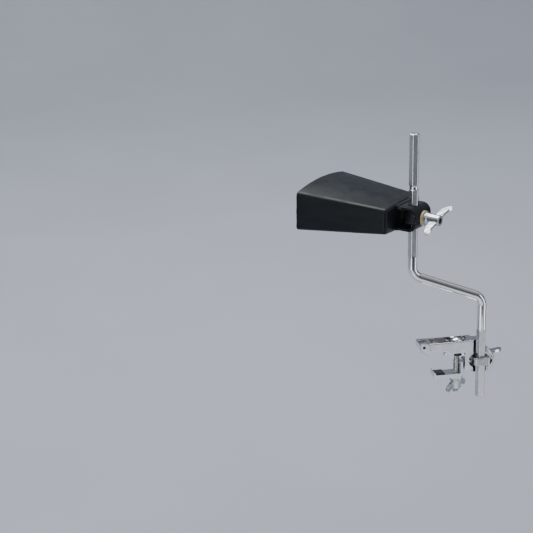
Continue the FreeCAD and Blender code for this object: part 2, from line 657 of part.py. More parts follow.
def make_head_washer():
    body = turned("bolt_head_washer", [("0", NECK_HALF + " * sqrt(2) + fit_gap"),
                                       ("head_ring", NECK_HALF + " * sqrt(2) + fit_gap"),
                                       ("head_ring", "head_ring_r - small_bevel"),
                                       ("head_ring - small_bevel", "head_ring_r"),
                                       ("0", "head_ring_r")])
    return keep(body, "bolt_head_washer", (("bolt_x", "0", TROUGH_FLOOR), FreeCAD.Rotation(Y, -90)))


def make_lock_nut():
    body = new_body("bolt_lock_nut")
    hexagon = new_sketch(body, "XY_Plane")
    add_hexagon(hexagon, "0", "0", "lock_nut_flats")
    pad(body, hexagon, "lock_nut_height", backwards=True)
    dress(body, "Chamfer", "nut_bevel", lambda e: near(e.CenterOfMass.z, "-lock_nut_height"))
    bore = new_sketch(body, "XY_Plane")
    add_circle(bore, "0", "0", "bolt_r + nut_gap")
    pocket(body, bore)
    return keep(body, "bolt_lock_nut", (("bolt_x", "0", "arm_root_z"), FreeCAD.Rotation(Z, 30)))


def make_lower_claw():
    body = new_body("lower_claw")
    side = new_sketch(body, "XZ_Plane")
    foot = CLAW_FLOOR_Z
    add_outline(side, [("claw_tip_x", "%s - claw_floor + claw_edge" % foot),
                       ("claw_tip_x + claw_nose", "%s - claw_floor" % foot),
                       ("bolt_x - hub_in - hub_run", "%s - claw_floor" % foot),
                       ("bolt_x - hub_in", CLAW_FOOT_Z),
                       ("bolt_x + hub_out", CLAW_FOOT_Z), (CLAW_BACK_X, "%s - hub_heel" % foot),
                       (CLAW_BACK_X, "claw_plate_top - claw_edge"),
                       (CLAW_BACK_X + " - claw_edge", "claw_plate_top"),
                       (CLAW_BACK_X + " - claw_back", "claw_plate_top"), (CLAW_BACK_X + " - claw_back", foot),
                       ("claw_tip_x + claw_hook", foot),
                       ("claw_tip_x + claw_hook_top", "%s + claw_tip_height" % foot),
                       ("claw_tip_x", "%s + claw_tip_height" % foot)])
    pad(body, side, "claw_width", symmetric=True)
    dress(body, "Chamfer", "claw_bevel", lambda e: abs(abs(e.CenterOfMass.y) - num("claw_width / 2")) < 0.01
          and e.CenterOfMass.x > num("bolt_x - hub_in - hub_run - 0.1") and not near(e.CenterOfMass.z, foot))
    washer_flat = new_sketch(body, "XY_Plane", CLAW_FOOT_Z)
    add_circle(washer_flat, "bolt_x", "0", "washer_r + washer_land")
    pad(body, washer_flat, "claw_hub - 0.5")
    hole = new_sketch(body, "XY_Plane")
    add_circle(hole, "bolt_x", "0", HOLE_R)
    pocket(body, hole)
    seat = new_sketch(body, "XY_Plane", foot)
    add_rectangle(seat, "claw_tip_x + claw_hook - fit_gap", "-claw_width / 2 + pad_frame - fit_gap",
                  "claw_pad_out_x + fit_gap", "claw_width / 2 - pad_frame + fit_gap")
    pocket(body, seat, "claw_pad_sunk")
    return keep(body, "lower_claw")


def make_claw_pad():
    body = new_body("claw_pad")
    top = new_sketch(body, "XY_Plane", CLAW_PAD_TOP)
    add_rectangle(top, "claw_tip_x + claw_hook", "-claw_width / 2 + pad_frame", "claw_pad_out_x",
                  "claw_width / 2 - pad_frame")
    pad(body, top, "claw_pad_height", backwards=True)
    dress(body, "Fillet", "pad_round", lambda e: near(e.CenterOfMass.z, CLAW_PAD_TOP))
    return keep(body, "claw_pad")


def make_wing_nut(name, height, span, place, roll):
    """wing nut on its foot at x = 0, with the hub along +X and wings towards +Y and -Y"""
    bore = "(bolt_r + nut_gap)"
    body = turned(name, [("0", bore), (height, bore), (height, "nut_hub_r - small_bevel"),
                         (height + " - small_bevel", "nut_hub_r"),
                         ("nut_foot + nut_cone", "nut_hub_r + small_bevel"),
                         ("nut_foot", "nut_foot_r"), ("small_bevel", "nut_foot_r"),
                         ("0", "nut_foot_r - small_bevel")])
    reach = "(%s / 2)" % span
    wing = new_sketch(body, "XY_Plane")
    for side, turn in (("", -1), ("-", 1)):
        add_outline(wing, [(height + " - wing_root", side + "(nut_hub_r - wing_sunk)"),
                           (height + " - wing_root", side + "(nut_hub_r + wing_sunk)", reach, turn),
                           (height + " + wing_rise - wing_tip", side + "(%s - wing_slope)" % reach,
                            "wing_round", turn),
                           (height + " + wing_rise", side + "(%s - 2 * wing_slope)" % reach, reach, -turn),
                           (height + " - wing_shoulder", side + "(nut_hub_r + wing_sunk / 2)"),
                           (height + " - wing_shoulder", side + "(nut_hub_r - wing_sunk)")])
    pad(body, wing, "wing_thick", symmetric=True)
    return keep(body, name, (place[0], place[1] * FreeCAD.Rotation(X, num(roll))))


def make_eye_bolt(name, eye_height, shank_end, place):
    """eye round the rod at the origin, with its shank along +X"""
    body = new_body(name)
    eye = new_sketch(body, "XY_Plane")
    front = "(-%s - eye_wall)" % EYE_R
    add_rectangle(eye, front, "-eye_half", "eye_half - eye_land", "eye_half")
    pad(body, eye, eye_height, symmetric=True)
    dress(body, "Fillet", "eye_corner", lambda e: runs_along(e, Z))
    shank = new_sketch(body, "YZ_Plane", "eye_half - 1")
    add_circle(shank, "0", "0", "bolt_r")
    pad(body, shank, "%s - eye_half + 1" % shank_end)
    dress(body, "Chamfer", "shank_bevel", lambda e: near(e.CenterOfMass.x, shank_end))
    dress(body, "Fillet", "eye_edge", lambda e: abs(abs(e.CenterOfMass.z) - num(eye_height + " / 2")) < 0.01)
    bore = new_sketch(body, "XY_Plane", eye_height)
    add_slot(bore, "0", "eye_travel", "0", EYE_R)
    pocket(body, bore)
    return keep(body, name, place)


def make_lock_washer():
    body = ring("rod_lock_washer", "lock_ring_r", "bolt_r + nut_gap", "lock_ring")
    slit = new_sketch(body, "XY_Plane")
    add_outline(slit, [("-slit_lean", "bolt_r - 1"), ("slit_lean", "bolt_r - 1"),
                       ("lock_ring + slit_lean", "lock_ring_r + 1"),
                       ("lock_ring - slit_lean", "lock_ring_r + 1")])
    feature = body.newObject("PartDesign::Pocket", "rod_lock_washer_slit")
    feature.Profile = slit
    feature.SideType = "Symmetric"
    bind(feature, "Length", "slit_width")
    refresh(body, feature, slit)
    return keep(body, "rod_lock_washer", behind_disc("washer"))


# ---------------------------------------------------------------- rod

def make_z_rod():
    body = new_body("z_rod")
    path = new_sketch(body, "XZ_Plane")
    low = (num("rod_x"), num("lower_bend_z"))
    high = (num("upper_x"), num("upper_bend_z"))
    slope = FreeCAD.Vector(high[0] - low[0], high[1] - low[1], 0)
    slope.normalize()
    reach = num("bend_r") * math.tan((math.pi / 2 - math.atan2(slope.y, -slope.x)) / 2)
    corner_low = FreeCAD.Vector(low[0], low[1], 0)
    corner_high = FreeCAD.Vector(high[0], high[1], 0)
    up = FreeCAD.Vector(0, 1, 0)
    spots = [FreeCAD.Vector(low[0], num("lower_hex_top"), 0), corner_low - up * reach,
             corner_low + slope * reach, corner_high - slope * reach, corner_high + up * reach,
             FreeCAD.Vector(high[0], num("upper_hex_low"), 0)]
    guide = path.addGeometry(Part.LineSegment(corner_low, corner_high), True)
    legs = [path.addGeometry(Part.LineSegment(spots[i], spots[i + 1]), False) for i in (0, 2, 4)]
    arcs = []
    for start, end, corner in ((spots[1], spots[2], corner_low), (spots[3], spots[4], corner_high)):
        inward = (start + end) * 0.5 - corner
        distance = math.sqrt(reach * reach + num("bend_r") ** 2)
        inward.normalize()
        middle = corner + inward * (distance - num("bend_r"))
        arcs.append(path.addGeometry(Part.Arc(start, middle, end), False))

    def touching(arc, spot):
        return 1 if path.getPoint(arc, 1).distanceToPoint(spot) < 1e-6 else 2

    tangents = ((legs[0], 2, arcs[0], spots[1]), (legs[1], 1, arcs[0], spots[2]),
                (legs[1], 2, arcs[1], spots[3]), (legs[2], 1, arcs[1], spots[4]))
    for leg, end, arc, spot in tangents:
        path.addConstraint(Sketcher.Constraint("Tangent", leg, end, arc, touching(arc, spot)))
    tie(path, guide, 1, "rod_x", "lower_bend_z")
    tie(path, guide, 2, "upper_x", "upper_bend_z")
    tie(path, legs[0], 1, "rod_x", "lower_hex_top")
    tie(path, legs[2], 2, "upper_x", "upper_hex_low")
    path.addConstraint(Sketcher.Constraint("Vertical", legs[0]))
    path.addConstraint(Sketcher.Constraint("Vertical", legs[2]))
    path.addConstraint(Sketcher.Constraint("PointOnObject", legs[1], 1, guide))
    path.addConstraint(Sketcher.Constraint("PointOnObject", legs[1], 2, guide))
    for arc in arcs:
        index = path.addConstraint(Sketcher.Constraint("Radius", arc, num("bend_r")))
        bind(path, "Constraints[%d]" % index, "bend_r")
    profile = new_sketch(body, "XY_Plane", "lower_hex_top")
    add_circle(profile, "rod_x", "0", "rod_r")
    pipe = body.newObject("PartDesign::AdditivePipe", "z_rod_pipe")
    pipe.Profile = profile
    path.recompute()
    pipe.Spine = (path, ["Edge%d" % (i + 1) for i in range(5)])
    refresh(body, pipe, profile)
    lengths = (("rod_x", "rod_bottom", "lower_hex_top"), ("upper_x", "upper_hex_low", "neck_z"),
               ("upper_x", "neck_z + neck_tall", "rod_top"))
    for x, start, end in lengths:
        hexagon = new_sketch(body, "XY_Plane", start)
        add_hexagon(hexagon, x, "0", "rod_flats")
        pad(body, hexagon, "%s - (%s)" % (end, start))
        if start == "upper_hex_low":
            neck = new_sketch(body, "XY_Plane", "neck_z")
            add_circle(neck, x, "0", "neck_r")
            pad(body, neck, "neck_tall")
    dress(body, "Chamfer", "rod_chamfer", lambda e: near(e.CenterOfMass.z, "rod_bottom")
          or near(e.CenterOfMass.z, "rod_top"))
    return keep(body, "z_rod", (("0", ROD_Y, "0"), FreeCAD.Rotation()))


# ---------------------------------------------------------------- bell

def section_sketch(body, x, inset):
    """bell section at x, inset from the closed end's outline, or from the mouth's when beyond the sheet"""
    end = x[0]
    half = "(%s_width / 2 - (%s))" % (end, inset)
    tall = "(%s_side / 2 - (%s))" % (end, inset)
    corner = "(bell_corner - (%s))" % inset
    crown = "%s_crown" % end
    arch = "((%s ^ 2 + %s ^ 2) / (2 * %s))" % (half, crown, crown)
    centre = "(%s + %s - %s)" % (tall, crown, arch)
    reach = "(%s - %s)" % (arch, corner)
    across = "(%s - %s)" % (half, corner)
    height = "sqrt(%s ^ 2 - %s ^ 2)" % (reach, across)
    side_z = "(%s + %s)" % (centre, height)
    touch_y = "(%s * %s / %s)" % (arch, across, reach)
    touch_z = "(%s + %s * %s / %s)" % (centre, arch, height, reach)
    sketch = new_sketch(body, "YZ_Plane", x[1])
    add_outline(sketch, [("-" + touch_y, "-" + touch_z, arch, 1), (touch_y, "-" + touch_z, corner, 1),
                         (half, "-" + side_z), (half, side_z, corner, 1),
                         (touch_y, touch_z, arch, 1), ("-" + touch_y, touch_z, corner, 1),
                         ("-" + half, side_z), ("-" + half, "-" + side_z, corner, 1)])
    return sketch


def bell_block(name, inset, mouth_x):
    """solid bell of the outer shape, inset by a distance, with the sheet's fold round its closed end"""
    body = new_body(name)
    fold = "(bell_fold - (%s))" % inset
    sections = []
    for step in range(FOLD_STEPS + 1):
        angle = "(%d * 1deg)" % (90 * step / FOLD_STEPS)
        x = "crown_x + (%s) + %s * (1 - cos%s)" % (inset, fold, angle)
        sections.append(section_sketch(body, ("end", x), "%s + %s * (1 - sin%s)" % (inset, fold, angle)))
    sections.append(section_sketch(body, ("mouth", mouth_x), inset))
    loft = body.newObject("PartDesign::AdditiveLoft", name + "_loft")
    loft.Profile = sections[0]
    loft.Sections = sections[1:]
    loft.Ruled = True
    refresh(body, loft, *sections)
    return body


def slab(name, low, high):
    """flat box across the whole bell between two heights"""
    box = doc.addObject("Part::Box", name)
    bind(box, "Length", "2 * bell_length")
    bind(box, "Width", "2 * mouth_width")
    bind(box, "Height", "(%s) - (%s)" % (high, low))
    bind(box, ".Placement.Base.x", "crown_x - bell_length / 2")
    bind(box, ".Placement.Base.y", "-mouth_width")
    bind(box, ".Placement.Base.z", low)
    return box


def boolean(kind, name, base, tool):
    result = doc.addObject("Part::" + kind, name)
    result.Base = base
    result.Tool = tool
    for obj in (base, tool, result):
        obj.recompute()
    return result


def make_bell():
    outer = bell_block("bell_outer", "0", MOUTH_X)
    core = bell_block("bell_core", "bell_wall", MOUTH_X + " + 0.01")
    proud = bell_block("seam_outer", "-seam_rise", MOUTH_X + " - seam_end")
    skin = boolean("Cut", "bell_skin", outer, core)
    tall = "(mouth_side + 2 * mouth_crown)"
    upper = boolean("Common", "bell_upper", skin, slab("upper_slab", "seam_half", tall))
    keep(upper, "bell_upper_shell", BELL_PLACE)
    lower = boolean("Common", "bell_lower", skin, slab("lower_slab", "-" + tall, "-seam_half"))
    keep(lower, "bell_lower_shell", BELL_PLACE)
    seam_skin = boolean("Cut", "seam_skin", proud, core)
    seam = boolean("Common", "bell_seam", seam_skin, slab("seam_slab", "-seam_half", "seam_half"))
    keep(seam, "bell_seam_weld", BELL_PLACE)
    return outer


def make_mount_strap(bell):
    body = new_body("mount_strap")
    side = new_sketch(body, "XZ_Plane")
    end = "(crown_x + strap_lap)"
    high = "strap_height / 2"
    inner = "(strap_height / 2 - strap_sheet)"
    add_outline(side, [(end, high), ("-strap_out", high), ("-strap_out", "-" + high), (end, "-" + high),
                       (end, "-" + inner), ("-strap_out + strap_sheet", "-" + inner),
                       ("-strap_out + strap_sheet", inner), (end, inner)])
    pad(body, side, "strap_width", symmetric=True)
    dress(body, "Fillet", "strap_corner", lambda e: runs_along(e, Y) and near(e.CenterOfMass.x, "-strap_out"))
    dress(body, "Fillet", "strap_corner - strap_sheet",
          lambda e: runs_along(e, Y) and near(e.CenterOfMass.x, "-strap_out + strap_sheet"))
    rod_hole = new_sketch(body, "XY_Plane", "strap_height")
    add_circle(rod_hole, "0", "0", HEX_R + " + rod_hole_gap")
    pocket(body, rod_hole)
    bolt_hole = new_sketch(body, "YZ_Plane", "0")
    add_circle(bolt_hole, "0", "0", HOLE_R)
    pocket(body, bolt_hole)
    cut = boolean("Cut", "strap_cut", body, bell)
    return keep(cut, "mount_strap", BELL_PLACE), body


def make_strap_welds(bell, strap_body):
    beads = []
    for sign in ("", "-"):
        bead = doc.addObject("Part::Cylinder", "weld_bead")
        bind(bead, "Radius", "weld_r")
        bind(bead, "Height", "strap_width - 2 * weld_margin")
        bead.Placement.Rotation = FreeCAD.Rotation(X, -90)
        bind(bead, ".Placement.Base.x", "crown_x - weld_set")
        bind(bead, ".Placement.Base.y", "-strap_width / 2 + weld_margin")
        bind(bead, ".Placement.Base.z", sign + "(strap_height / 2 + weld_set)")
        beads.append(bead)
    both = doc.addObject("Part::MultiFuse", "weld_beads")
    both.Shapes = beads
    for obj in beads + [both]:
        obj.recompute()
    outside_bell = boolean("Cut", "beads_outside_bell", both, bell)
    outside_strap = boolean("Cut", "beads_outside_strap", outside_bell, strap_body)
    return keep(outside_strap, "strap_welds", BELL_PLACE)


# ---------------------------------------------------------------- assembly

make_clamp_arm()
make_inner_jaw()
make_jaw_pin()
make_seat_pad()
make_pad_screw()
make_clamp_bolt()
make_head_washer()
make_lock_nut()
make_lower_claw()
make_claw_pad()
keep(ring("claw_washer", "washer_r", "bolt_r + hole_gap", "washer"), "claw_washer",
     (("bolt_x", "0", CLAW_FOOT_Z), DOWN))
make_wing_nut("claw_wing_nut", "claw_nut_height", "claw_nut_span",
              (("bolt_x", "0", CLAW_FOOT_Z + " - washer - seat_gap"), DOWN), "claw_nut_roll")
STACK = "(-rod_inset + leg_depth + washer + lock_ring + seat_gap + rod_nut_height)"
make_eye_bolt("rod_eye_bolt", "rod_eye_height", STACK + " + bolt_show", GRIP_PLACE)
keep(ring("rod_flat_washer", "washer_r", "bolt_r + hole_gap", "washer"), "rod_flat_washer", behind_disc("0"))
make_lock_washer()
make_wing_nut("rod_wing_nut", "rod_nut_height", "rod_nut_span",
              behind_disc("washer + lock_ring + seat_gap"), "rod_nut_roll")
make_z_rod()
bell_solid = make_bell()
strap, strap_solid = make_mount_strap(bell_solid)
make_strap_welds(bell_solid, strap_solid)
make_eye_bolt("bell_eye_bolt", "bell_eye_height",
              "(strap_out + fibre + washer + seat_gap + bell_nut_height - bell_bolt_sunk)",
              (BELL_BASE, AWAY_FROM_BELL))
keep(ring("bell_fibre_washer", "fibre_r", "bolt_r + hole_gap", "fibre"), "bell_fibre_washer",
     beyond_strap("strap_out"))
keep(ring("bell_flat_washer", "washer_r", "bolt_r + hole_gap", "washer"), "bell_flat_washer",
     beyond_strap("strap_out + fibre"))
make_wing_nut("bell_wing_nut", "bell_nut_height", "bell_nut_span",
              beyond_strap("strap_out + fibre + washer + seat_gap"), "bell_nut_roll")

doc.recompute()
for obj in doc.Objects:
    if "Invalid" in obj.State or "Error" in obj.State:
        raise RuntimeError("%s failed: %s" % (obj.Label, obj.State))
os.makedirs("parts", exist_ok=True)
for part in parts:
    if part.Shape.isNull() or not part.Shape.isValid() or part.Shape.Volume < 0.01:
        raise RuntimeError(part.Label + " has no valid shape")
    part.Shape.exportStep("parts/%s.step" % part.Label)
print("%d sub-parts" % len(parts))
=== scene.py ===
import json
import math

import bmesh
import bpy
from mathutils import Matrix, Vector, noise


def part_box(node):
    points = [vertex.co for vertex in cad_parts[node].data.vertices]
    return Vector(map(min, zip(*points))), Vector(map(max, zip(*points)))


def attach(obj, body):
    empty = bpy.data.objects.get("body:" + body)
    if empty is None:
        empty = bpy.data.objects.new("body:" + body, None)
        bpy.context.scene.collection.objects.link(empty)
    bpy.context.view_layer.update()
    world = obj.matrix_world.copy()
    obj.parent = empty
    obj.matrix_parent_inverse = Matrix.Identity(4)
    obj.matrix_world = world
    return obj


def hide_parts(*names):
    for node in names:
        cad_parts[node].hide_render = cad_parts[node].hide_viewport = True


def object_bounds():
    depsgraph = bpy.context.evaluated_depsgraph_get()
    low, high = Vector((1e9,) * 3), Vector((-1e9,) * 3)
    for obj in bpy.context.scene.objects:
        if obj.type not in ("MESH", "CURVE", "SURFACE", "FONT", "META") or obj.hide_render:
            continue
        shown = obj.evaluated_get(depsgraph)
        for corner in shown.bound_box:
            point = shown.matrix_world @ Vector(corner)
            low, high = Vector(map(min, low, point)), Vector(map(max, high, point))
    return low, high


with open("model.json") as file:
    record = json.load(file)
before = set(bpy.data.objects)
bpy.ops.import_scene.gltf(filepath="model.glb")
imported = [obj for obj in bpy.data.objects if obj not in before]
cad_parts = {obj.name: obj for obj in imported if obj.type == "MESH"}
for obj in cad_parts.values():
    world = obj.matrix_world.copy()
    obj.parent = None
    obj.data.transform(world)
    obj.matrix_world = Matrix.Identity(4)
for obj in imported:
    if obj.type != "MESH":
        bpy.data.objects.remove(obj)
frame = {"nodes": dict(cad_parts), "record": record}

# Cowbell on its strap clamp, Z-rod and hoop clamp. Lengths are in millimetres and MM turns them into the
# scene's metres, but cards, lights and camera are in metres. Places come from the frame's nodes and joints.
MM = 0.001
CAD_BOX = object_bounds()
JOINTS = {joint["name"]: joint for joint in frame["record"]["behaviour"]["joints"]}
UP = Vector((0, 0, 1))
SHARP_TURN = 32  # degrees by which faces turn at an edge that counts as sharp


def node_box(node):
    low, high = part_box(node)
    return Vector(low) / MM, Vector(high) / MM


def along(origin, direction, side=UP):
    """matrix whose +X is a direction and whose +Z is as near as can be to side, at an origin in mm"""
    x = Vector(direction).normalized()
    y = Vector(side).cross(x).normalized()
    z = x.cross(y)
    turn = Matrix((x, y, z)).transposed().to_4x4()
    return Matrix.Translation(Vector(origin)) @ turn


# ------------------------------------------------------------------ materials

def start_material(name, colour, metallic, roughness):
    material = bpy.data.materials.new(name)
    material.use_nodes = True
    tree = material.node_tree
    shader = tree.nodes["Principled BSDF"]
    shader.inputs["Base Color"].default_value = (*colour, 1)
    shader.inputs["Metallic"].default_value = metallic
    shader.inputs["Roughness"].default_value = roughness
    return material, tree, shader


def place_coords(tree, stretch=(1, 1, 1)):
    coords = tree.nodes.new("ShaderNodeTexCoord")
    mapping = tree.nodes.new("ShaderNodeMapping")
    mapping.inputs["Scale"].default_value = stretch
    tree.links.new(coords.outputs["Object"], mapping.inputs["Vector"])
    return mapping.outputs["Vector"]


def noise_field(tree, grain_mm, detail=3.0, stretch=(1, 1, 1), distortion=0.0):
    """noise whose lumps are about grain_mm across"""
    field = tree.nodes.new("ShaderNodeTexNoise")
    field.inputs["Scale"].default_value = 1 / (grain_mm * MM)
    field.inputs["Detail"].default_value = detail
    field.inputs["Distortion"].default_value = distortion
    tree.links.new(place_coords(tree, stretch), field.inputs["Vector"])
    return field.outputs["Fac"]


def spread(tree, fac, low, high, out_low, out_high):
    """the part of a field between low and high, spread over out_low to out_high"""
    node = tree.nodes.new("ShaderNodeMapRange")
    node.inputs["From Min"].default_value = low
    node.inputs["From Max"].default_value = high
    node.inputs["To Min"].default_value = out_low
    node.inputs["To Max"].default_value = out_high
    tree.links.new(fac, node.inputs["Value"])
    return node.outputs["Result"]


def blend_colours(tree, fac, first, second):
    node = tree.nodes.new("ShaderNodeMix")
    node.data_type = "RGBA"
    for name, colour in (("A_Color", first), ("B_Color", second)):
        socket = next(s for s in node.inputs if s.identifier == name)
        if isinstance(colour, tuple):
            socket.default_value = (*colour, 1)
        else:
            tree.links.new(colour, socket)
    tree.links.new(fac, next(s for s in node.inputs if s.identifier == "Factor_Float"))
    return next(s for s in node.outputs if s.identifier == "Result_Color")


def product(tree, first, second, operation="MULTIPLY"):
    node = tree.nodes.new("ShaderNodeMath")
    node.operation = operation
    node.use_clamp = True
    for socket, value in zip(node.inputs, (first, second)):
        if isinstance(value, float):
            socket.default_value = value
        else:
            tree.links.new(value, socket)
    return node.outputs["Value"]


def add_bump(tree, shader, fields):
    """bumps of (field, height in mm), one on top of the other"""
    below = None
    for field, height in fields:
        node = tree.nodes.new("ShaderNodeBump")
        node.inputs["Strength"].default_value = 1.0
        node.inputs["Distance"].default_value = height * MM
        tree.links.new(field, node.inputs["Height"])
        if below is not None:
            tree.links.new(below, node.inputs["Normal"])
        below = node.outputs["Normal"]
    tree.links.new(below, shader.inputs["Normal"])


def worn_edges(tree, start, end):
    """1 on sharp convex edges, 0 elsewhere"""
    geometry = tree.nodes.new("ShaderNodeNewGeometry")
    return spread(tree, geometry.outputs["Pointiness"], start, end, 0.0, 1.0)


def plated_metal(name, colour, smooth, dull, smudge_mm=9.0, brush=None, ripple=0.004):
    """plated metal whose gloss varies between smooth and dull, with fine wiping marks"""
    material, tree, shader = start_material(name, colour, 1.0, smooth)
    smudge = spread(tree, noise_field(tree, smudge_mm, 4.0, distortion=0.6), 0.35, 0.75, 0.0, 1.0)
    marks = noise_field(tree, 0.5, 2.0, brush or (1, 1, 0.06))
    mixed = product(tree, smudge, spread(tree, marks, 0.3, 0.8, 0.5, 1.0))
    tree.links.new(spread(tree, mixed, 0.0, 1.0, smooth, dull), shader.inputs["Roughness"])
    shade = tuple(c * 0.86 for c in colour)
    tree.links.new(blend_colours(tree, mixed, colour, shade), shader.inputs["Base Color"])
    add_bump(tree, shader, ((noise_field(tree, 6.0, 1.0), ripple * 4), (marks, ripple * 0.25)))
    return material


def powder_coat(name, colour, weld=False):
    """satin black powder coat: fine orange peel, soft rubs, thin bare steel on the sharpest edges"""
    material, tree, shader = start_material(name, colour, 0.0, 0.46)
    shader.inputs["Specular IOR Level"].default_value = 0.20
    peel = noise_field(tree, 0.9, 2.0)
    rubs = spread(tree, noise_field(tree, 22.0, 5.0, (1, 1, 2.5), 0.8), 0.45, 0.7, 0.0, 1.0)
    streaks = spread(tree, noise_field(tree, 1.4, 3.0, (0.08, 0.08, 1)), 0.52, 0.78, 0.0, 1.0)
    dull = product(tree, rubs, streaks, "ADD")
    tree.links.new(spread(tree, dull, 0.0, 1.0, 0.32, 0.50), shader.inputs["Roughness"])
    lighter = tuple(c * 1.35 + 0.002 for c in colour)
    coat = blend_colours(tree, product(tree, rubs, 0.55), colour, lighter)
    edge = product(tree, worn_edges(tree, 0.56, 0.66),
                   spread(tree, noise_field(tree, 3.0, 4.0), 0.5, 0.68, 0.0, 1.0))
    tree.links.new(blend_colours(tree, edge, coat, (0.20, 0.20, 0.205)), shader.inputs["Base Color"])
    shader.inputs["Coat Weight"].default_value = 0.06
    shader.inputs["Coat Roughness"].default_value = 0.30
    add_bump(tree, shader, ((noise_field(tree, 16.0, 1.0), 0.12 if not weld else 0.03), (peel, 0.022)))
    return material


def rubber(name):
    material, tree, shader = start_material(name, (0.018, 0.018, 0.019), 0.0, 0.75)
    grain = noise_field(tree, 0.35, 4.0)
    dust = spread(tree, noise_field(tree, 4.0, 5.0), 0.5, 0.75, 0.0, 0.5)
    tree.links.new(blend_colours(tree, dust, (0.018, 0.018, 0.019), (0.09, 0.088, 0.085)),
                   shader.inputs["Base Color"])
    tree.links.new(spread(tree, grain, 0.3, 0.7, 0.62, 0.88), shader.inputs["Roughness"])
    add_bump(tree, shader, ((grain, 0.03),))
    return material


def fibre_board(name):
    """tan pressed fibre with a fleck and rings of wear"""
    material, tree, shader = start_material(name, (0.52, 0.42, 0.29), 0.0, 0.6)
    fleck = spread(tree, noise_field(tree, 0.6, 5.0), 0.35, 0.7, 0.0, 1.0)
    stain = spread(tree, noise_field(tree, 5.0, 3.0), 0.4, 0.75, 0.0, 0.6)
    base = blend_colours(tree, fleck, (0.58, 0.48, 0.34), (0.42, 0.32, 0.2))
    tree.links.new(blend_colours(tree, stain, base, (0.30, 0.23, 0.15)), shader.inputs["Base Color"])
    tree.links.new(spread(tree, fleck, 0.0, 1.0, 0.48, 0.72), shader.inputs["Roughness"])
    add_bump(tree, shader, ((fleck, 0.03),))
    return material


def floor_paint(name, tone):
    """matt paint with faint clouds, cool grey at the floor's tone and white above it"""
    tint = min(1.0, (1 - tone) * 1.7)
    colour = (tone * (1 - 0.10 * tint), tone * (1 - 0.03 * tint), tone * (1 + 0.13 * tint))
    material, tree, shader = start_material(name, colour, 0.0, 0.7)
    cloud = spread(tree, noise_field(tree, 260.0, 2.0), 0.3, 0.7, 0.0, 1.0)
    darker = tuple(c * 0.95 for c in colour)
    tree.links.new(blend_colours(tree, cloud, darker, colour), shader.inputs["Base Color"])
    return material


MIRROR_CHROME = plated_metal("mirror_chrome", (0.83, 0.84, 0.86), 0.05, 0.13)
HEX_CHROME = plated_metal("pressed_hex_chrome", (0.78, 0.79, 0.81), 0.20, 0.32, ripple=0.006)
CAST_CHROME = plated_metal("cast_chrome", (0.72, 0.74, 0.77), 0.10, 0.22, 7.0, (1, 1, 1), 0.012)
NUT_CHROME = plated_metal("nut_chrome", (0.60, 0.62, 0.65), 0.07, 0.17, 4.0, (1, 1, 1), 0.014)
ZINC = plated_metal("bright_zinc", (0.62, 0.63, 0.64), 0.24, 0.42, 3.0, (1, 1, 1), 0.012)
# darkened zinc for the bell's eye bolt: partly its own dark finish, partly painted shade of the strap's dark
# inside
EYE_STEEL_WITH_PAINTED_SHADE = plated_metal("eye_bolt_steel_with_painted_shade", (0.085, 0.086, 0.09), 0.16, 0.30, 3.0, (1, 1, 1), 0.012)
DARK_STEEL = plated_metal("blackened_steel", (0.07, 0.07, 0.075), 0.32, 0.5, 3.0, (1, 1, 1), 0.01)
BRASS = plated_metal("dull_brass", (0.55, 0.48, 0.37), 0.26, 0.44, 2.0, (1, 1, 1), 0.01)
COAT_COLOUR = (0.0055, 0.0085, 0.0120)
BLACK_COAT = powder_coat("black_powder_coat", COAT_COLOUR)
WELD_COAT = powder_coat("coated_weld", COAT_COLOUR, weld=True)
RUBBER = rubber("pad_rubber")
FIBRE = fibre_board("tan_fibre")
NYLON = rubber("dark_nylon")


# ------------------------------------------------------------------ mesh helpers

def new_piece(name, mesh, body, *materials):
    """object at the origin that rides on a body, with the given materials"""
    piece = bpy.data.objects.new(name, mesh)
    bpy.context.scene.collection.objects.link(piece)
    mesh.materials.clear()
    for material in materials:
        mesh.materials.append(material)
    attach(piece, body)
    return piece


def mesh_from(verts, faces, name, place=None):
    """mesh from points in mm, moved by a place matrix in mm and scaled to metres, normals outwards"""
    mesh = bpy.data.meshes.new(name)
    mesh.from_pydata([Vector(v) for v in verts], [], faces)
    form = bmesh.new()
    form.from_mesh(mesh)
    bmesh.ops.remove_doubles(form, verts=form.verts, dist=1e-4)
    bmesh.ops.recalc_face_normals(form, faces=form.faces)
    form.to_mesh(mesh)
    form.free()
    mesh.transform(Matrix.Scale(MM, 4) @ (place or Matrix()))
    return mesh


def quad(row, k, count):
    """face between points k and k + 1 of a closed row of count points and the same points of the next row"""
    after = (k + 1) % count
    return (row * count + k, row * count + after, (row + 1) * count + after, (row + 1) * count + k)


def smooth_by_angle(mesh, degrees):
    """smooth faces, with sharp edges where the surface turns by more than an angle"""
    form = bmesh.new()
    form.from_mesh(mesh)
    for face in form.faces:
        face.smooth = True
    for edge in form.edges:
        if len(edge.link_faces) == 2:
            edge.smooth = edge.calc_face_angle(0) < math.radians(degrees)
    form.to_mesh(mesh)
    form.free()


def finish_edges(piece, width, degrees=SHARP_TURN, segments=3, level=None):
    """rounds the edges that turn by more than an angle, but none that lies at a level in mm"""
    form = bmesh.new()
    form.from_mesh(piece.data)
    weight = form.edges.layers.float.new("bevel_weight_edge")
    for edge in form.edges:
        turns = len(edge.link_faces) == 2 and edge.calc_face_angle(0) > math.radians(degrees)
        joint = level is not None and all(abs(vert.co.z / MM - level) < 0.01 for vert in edge.verts)
        edge[weight] = 1.0 if turns and not joint else 0.0
    form.to_mesh(piece.data)
    form.free()
    bevel = piece.modifiers.new("edges", "BEVEL")
    bevel.width = width * MM
    bevel.segments = segments
    bevel.limit_method = "WEIGHT"
    weigh = piece.modifiers.new("weigh", "WEIGHTED_NORMAL")
    weigh.keep_sharp = True
    weigh.weight = 80
    bake_modifiers(piece)


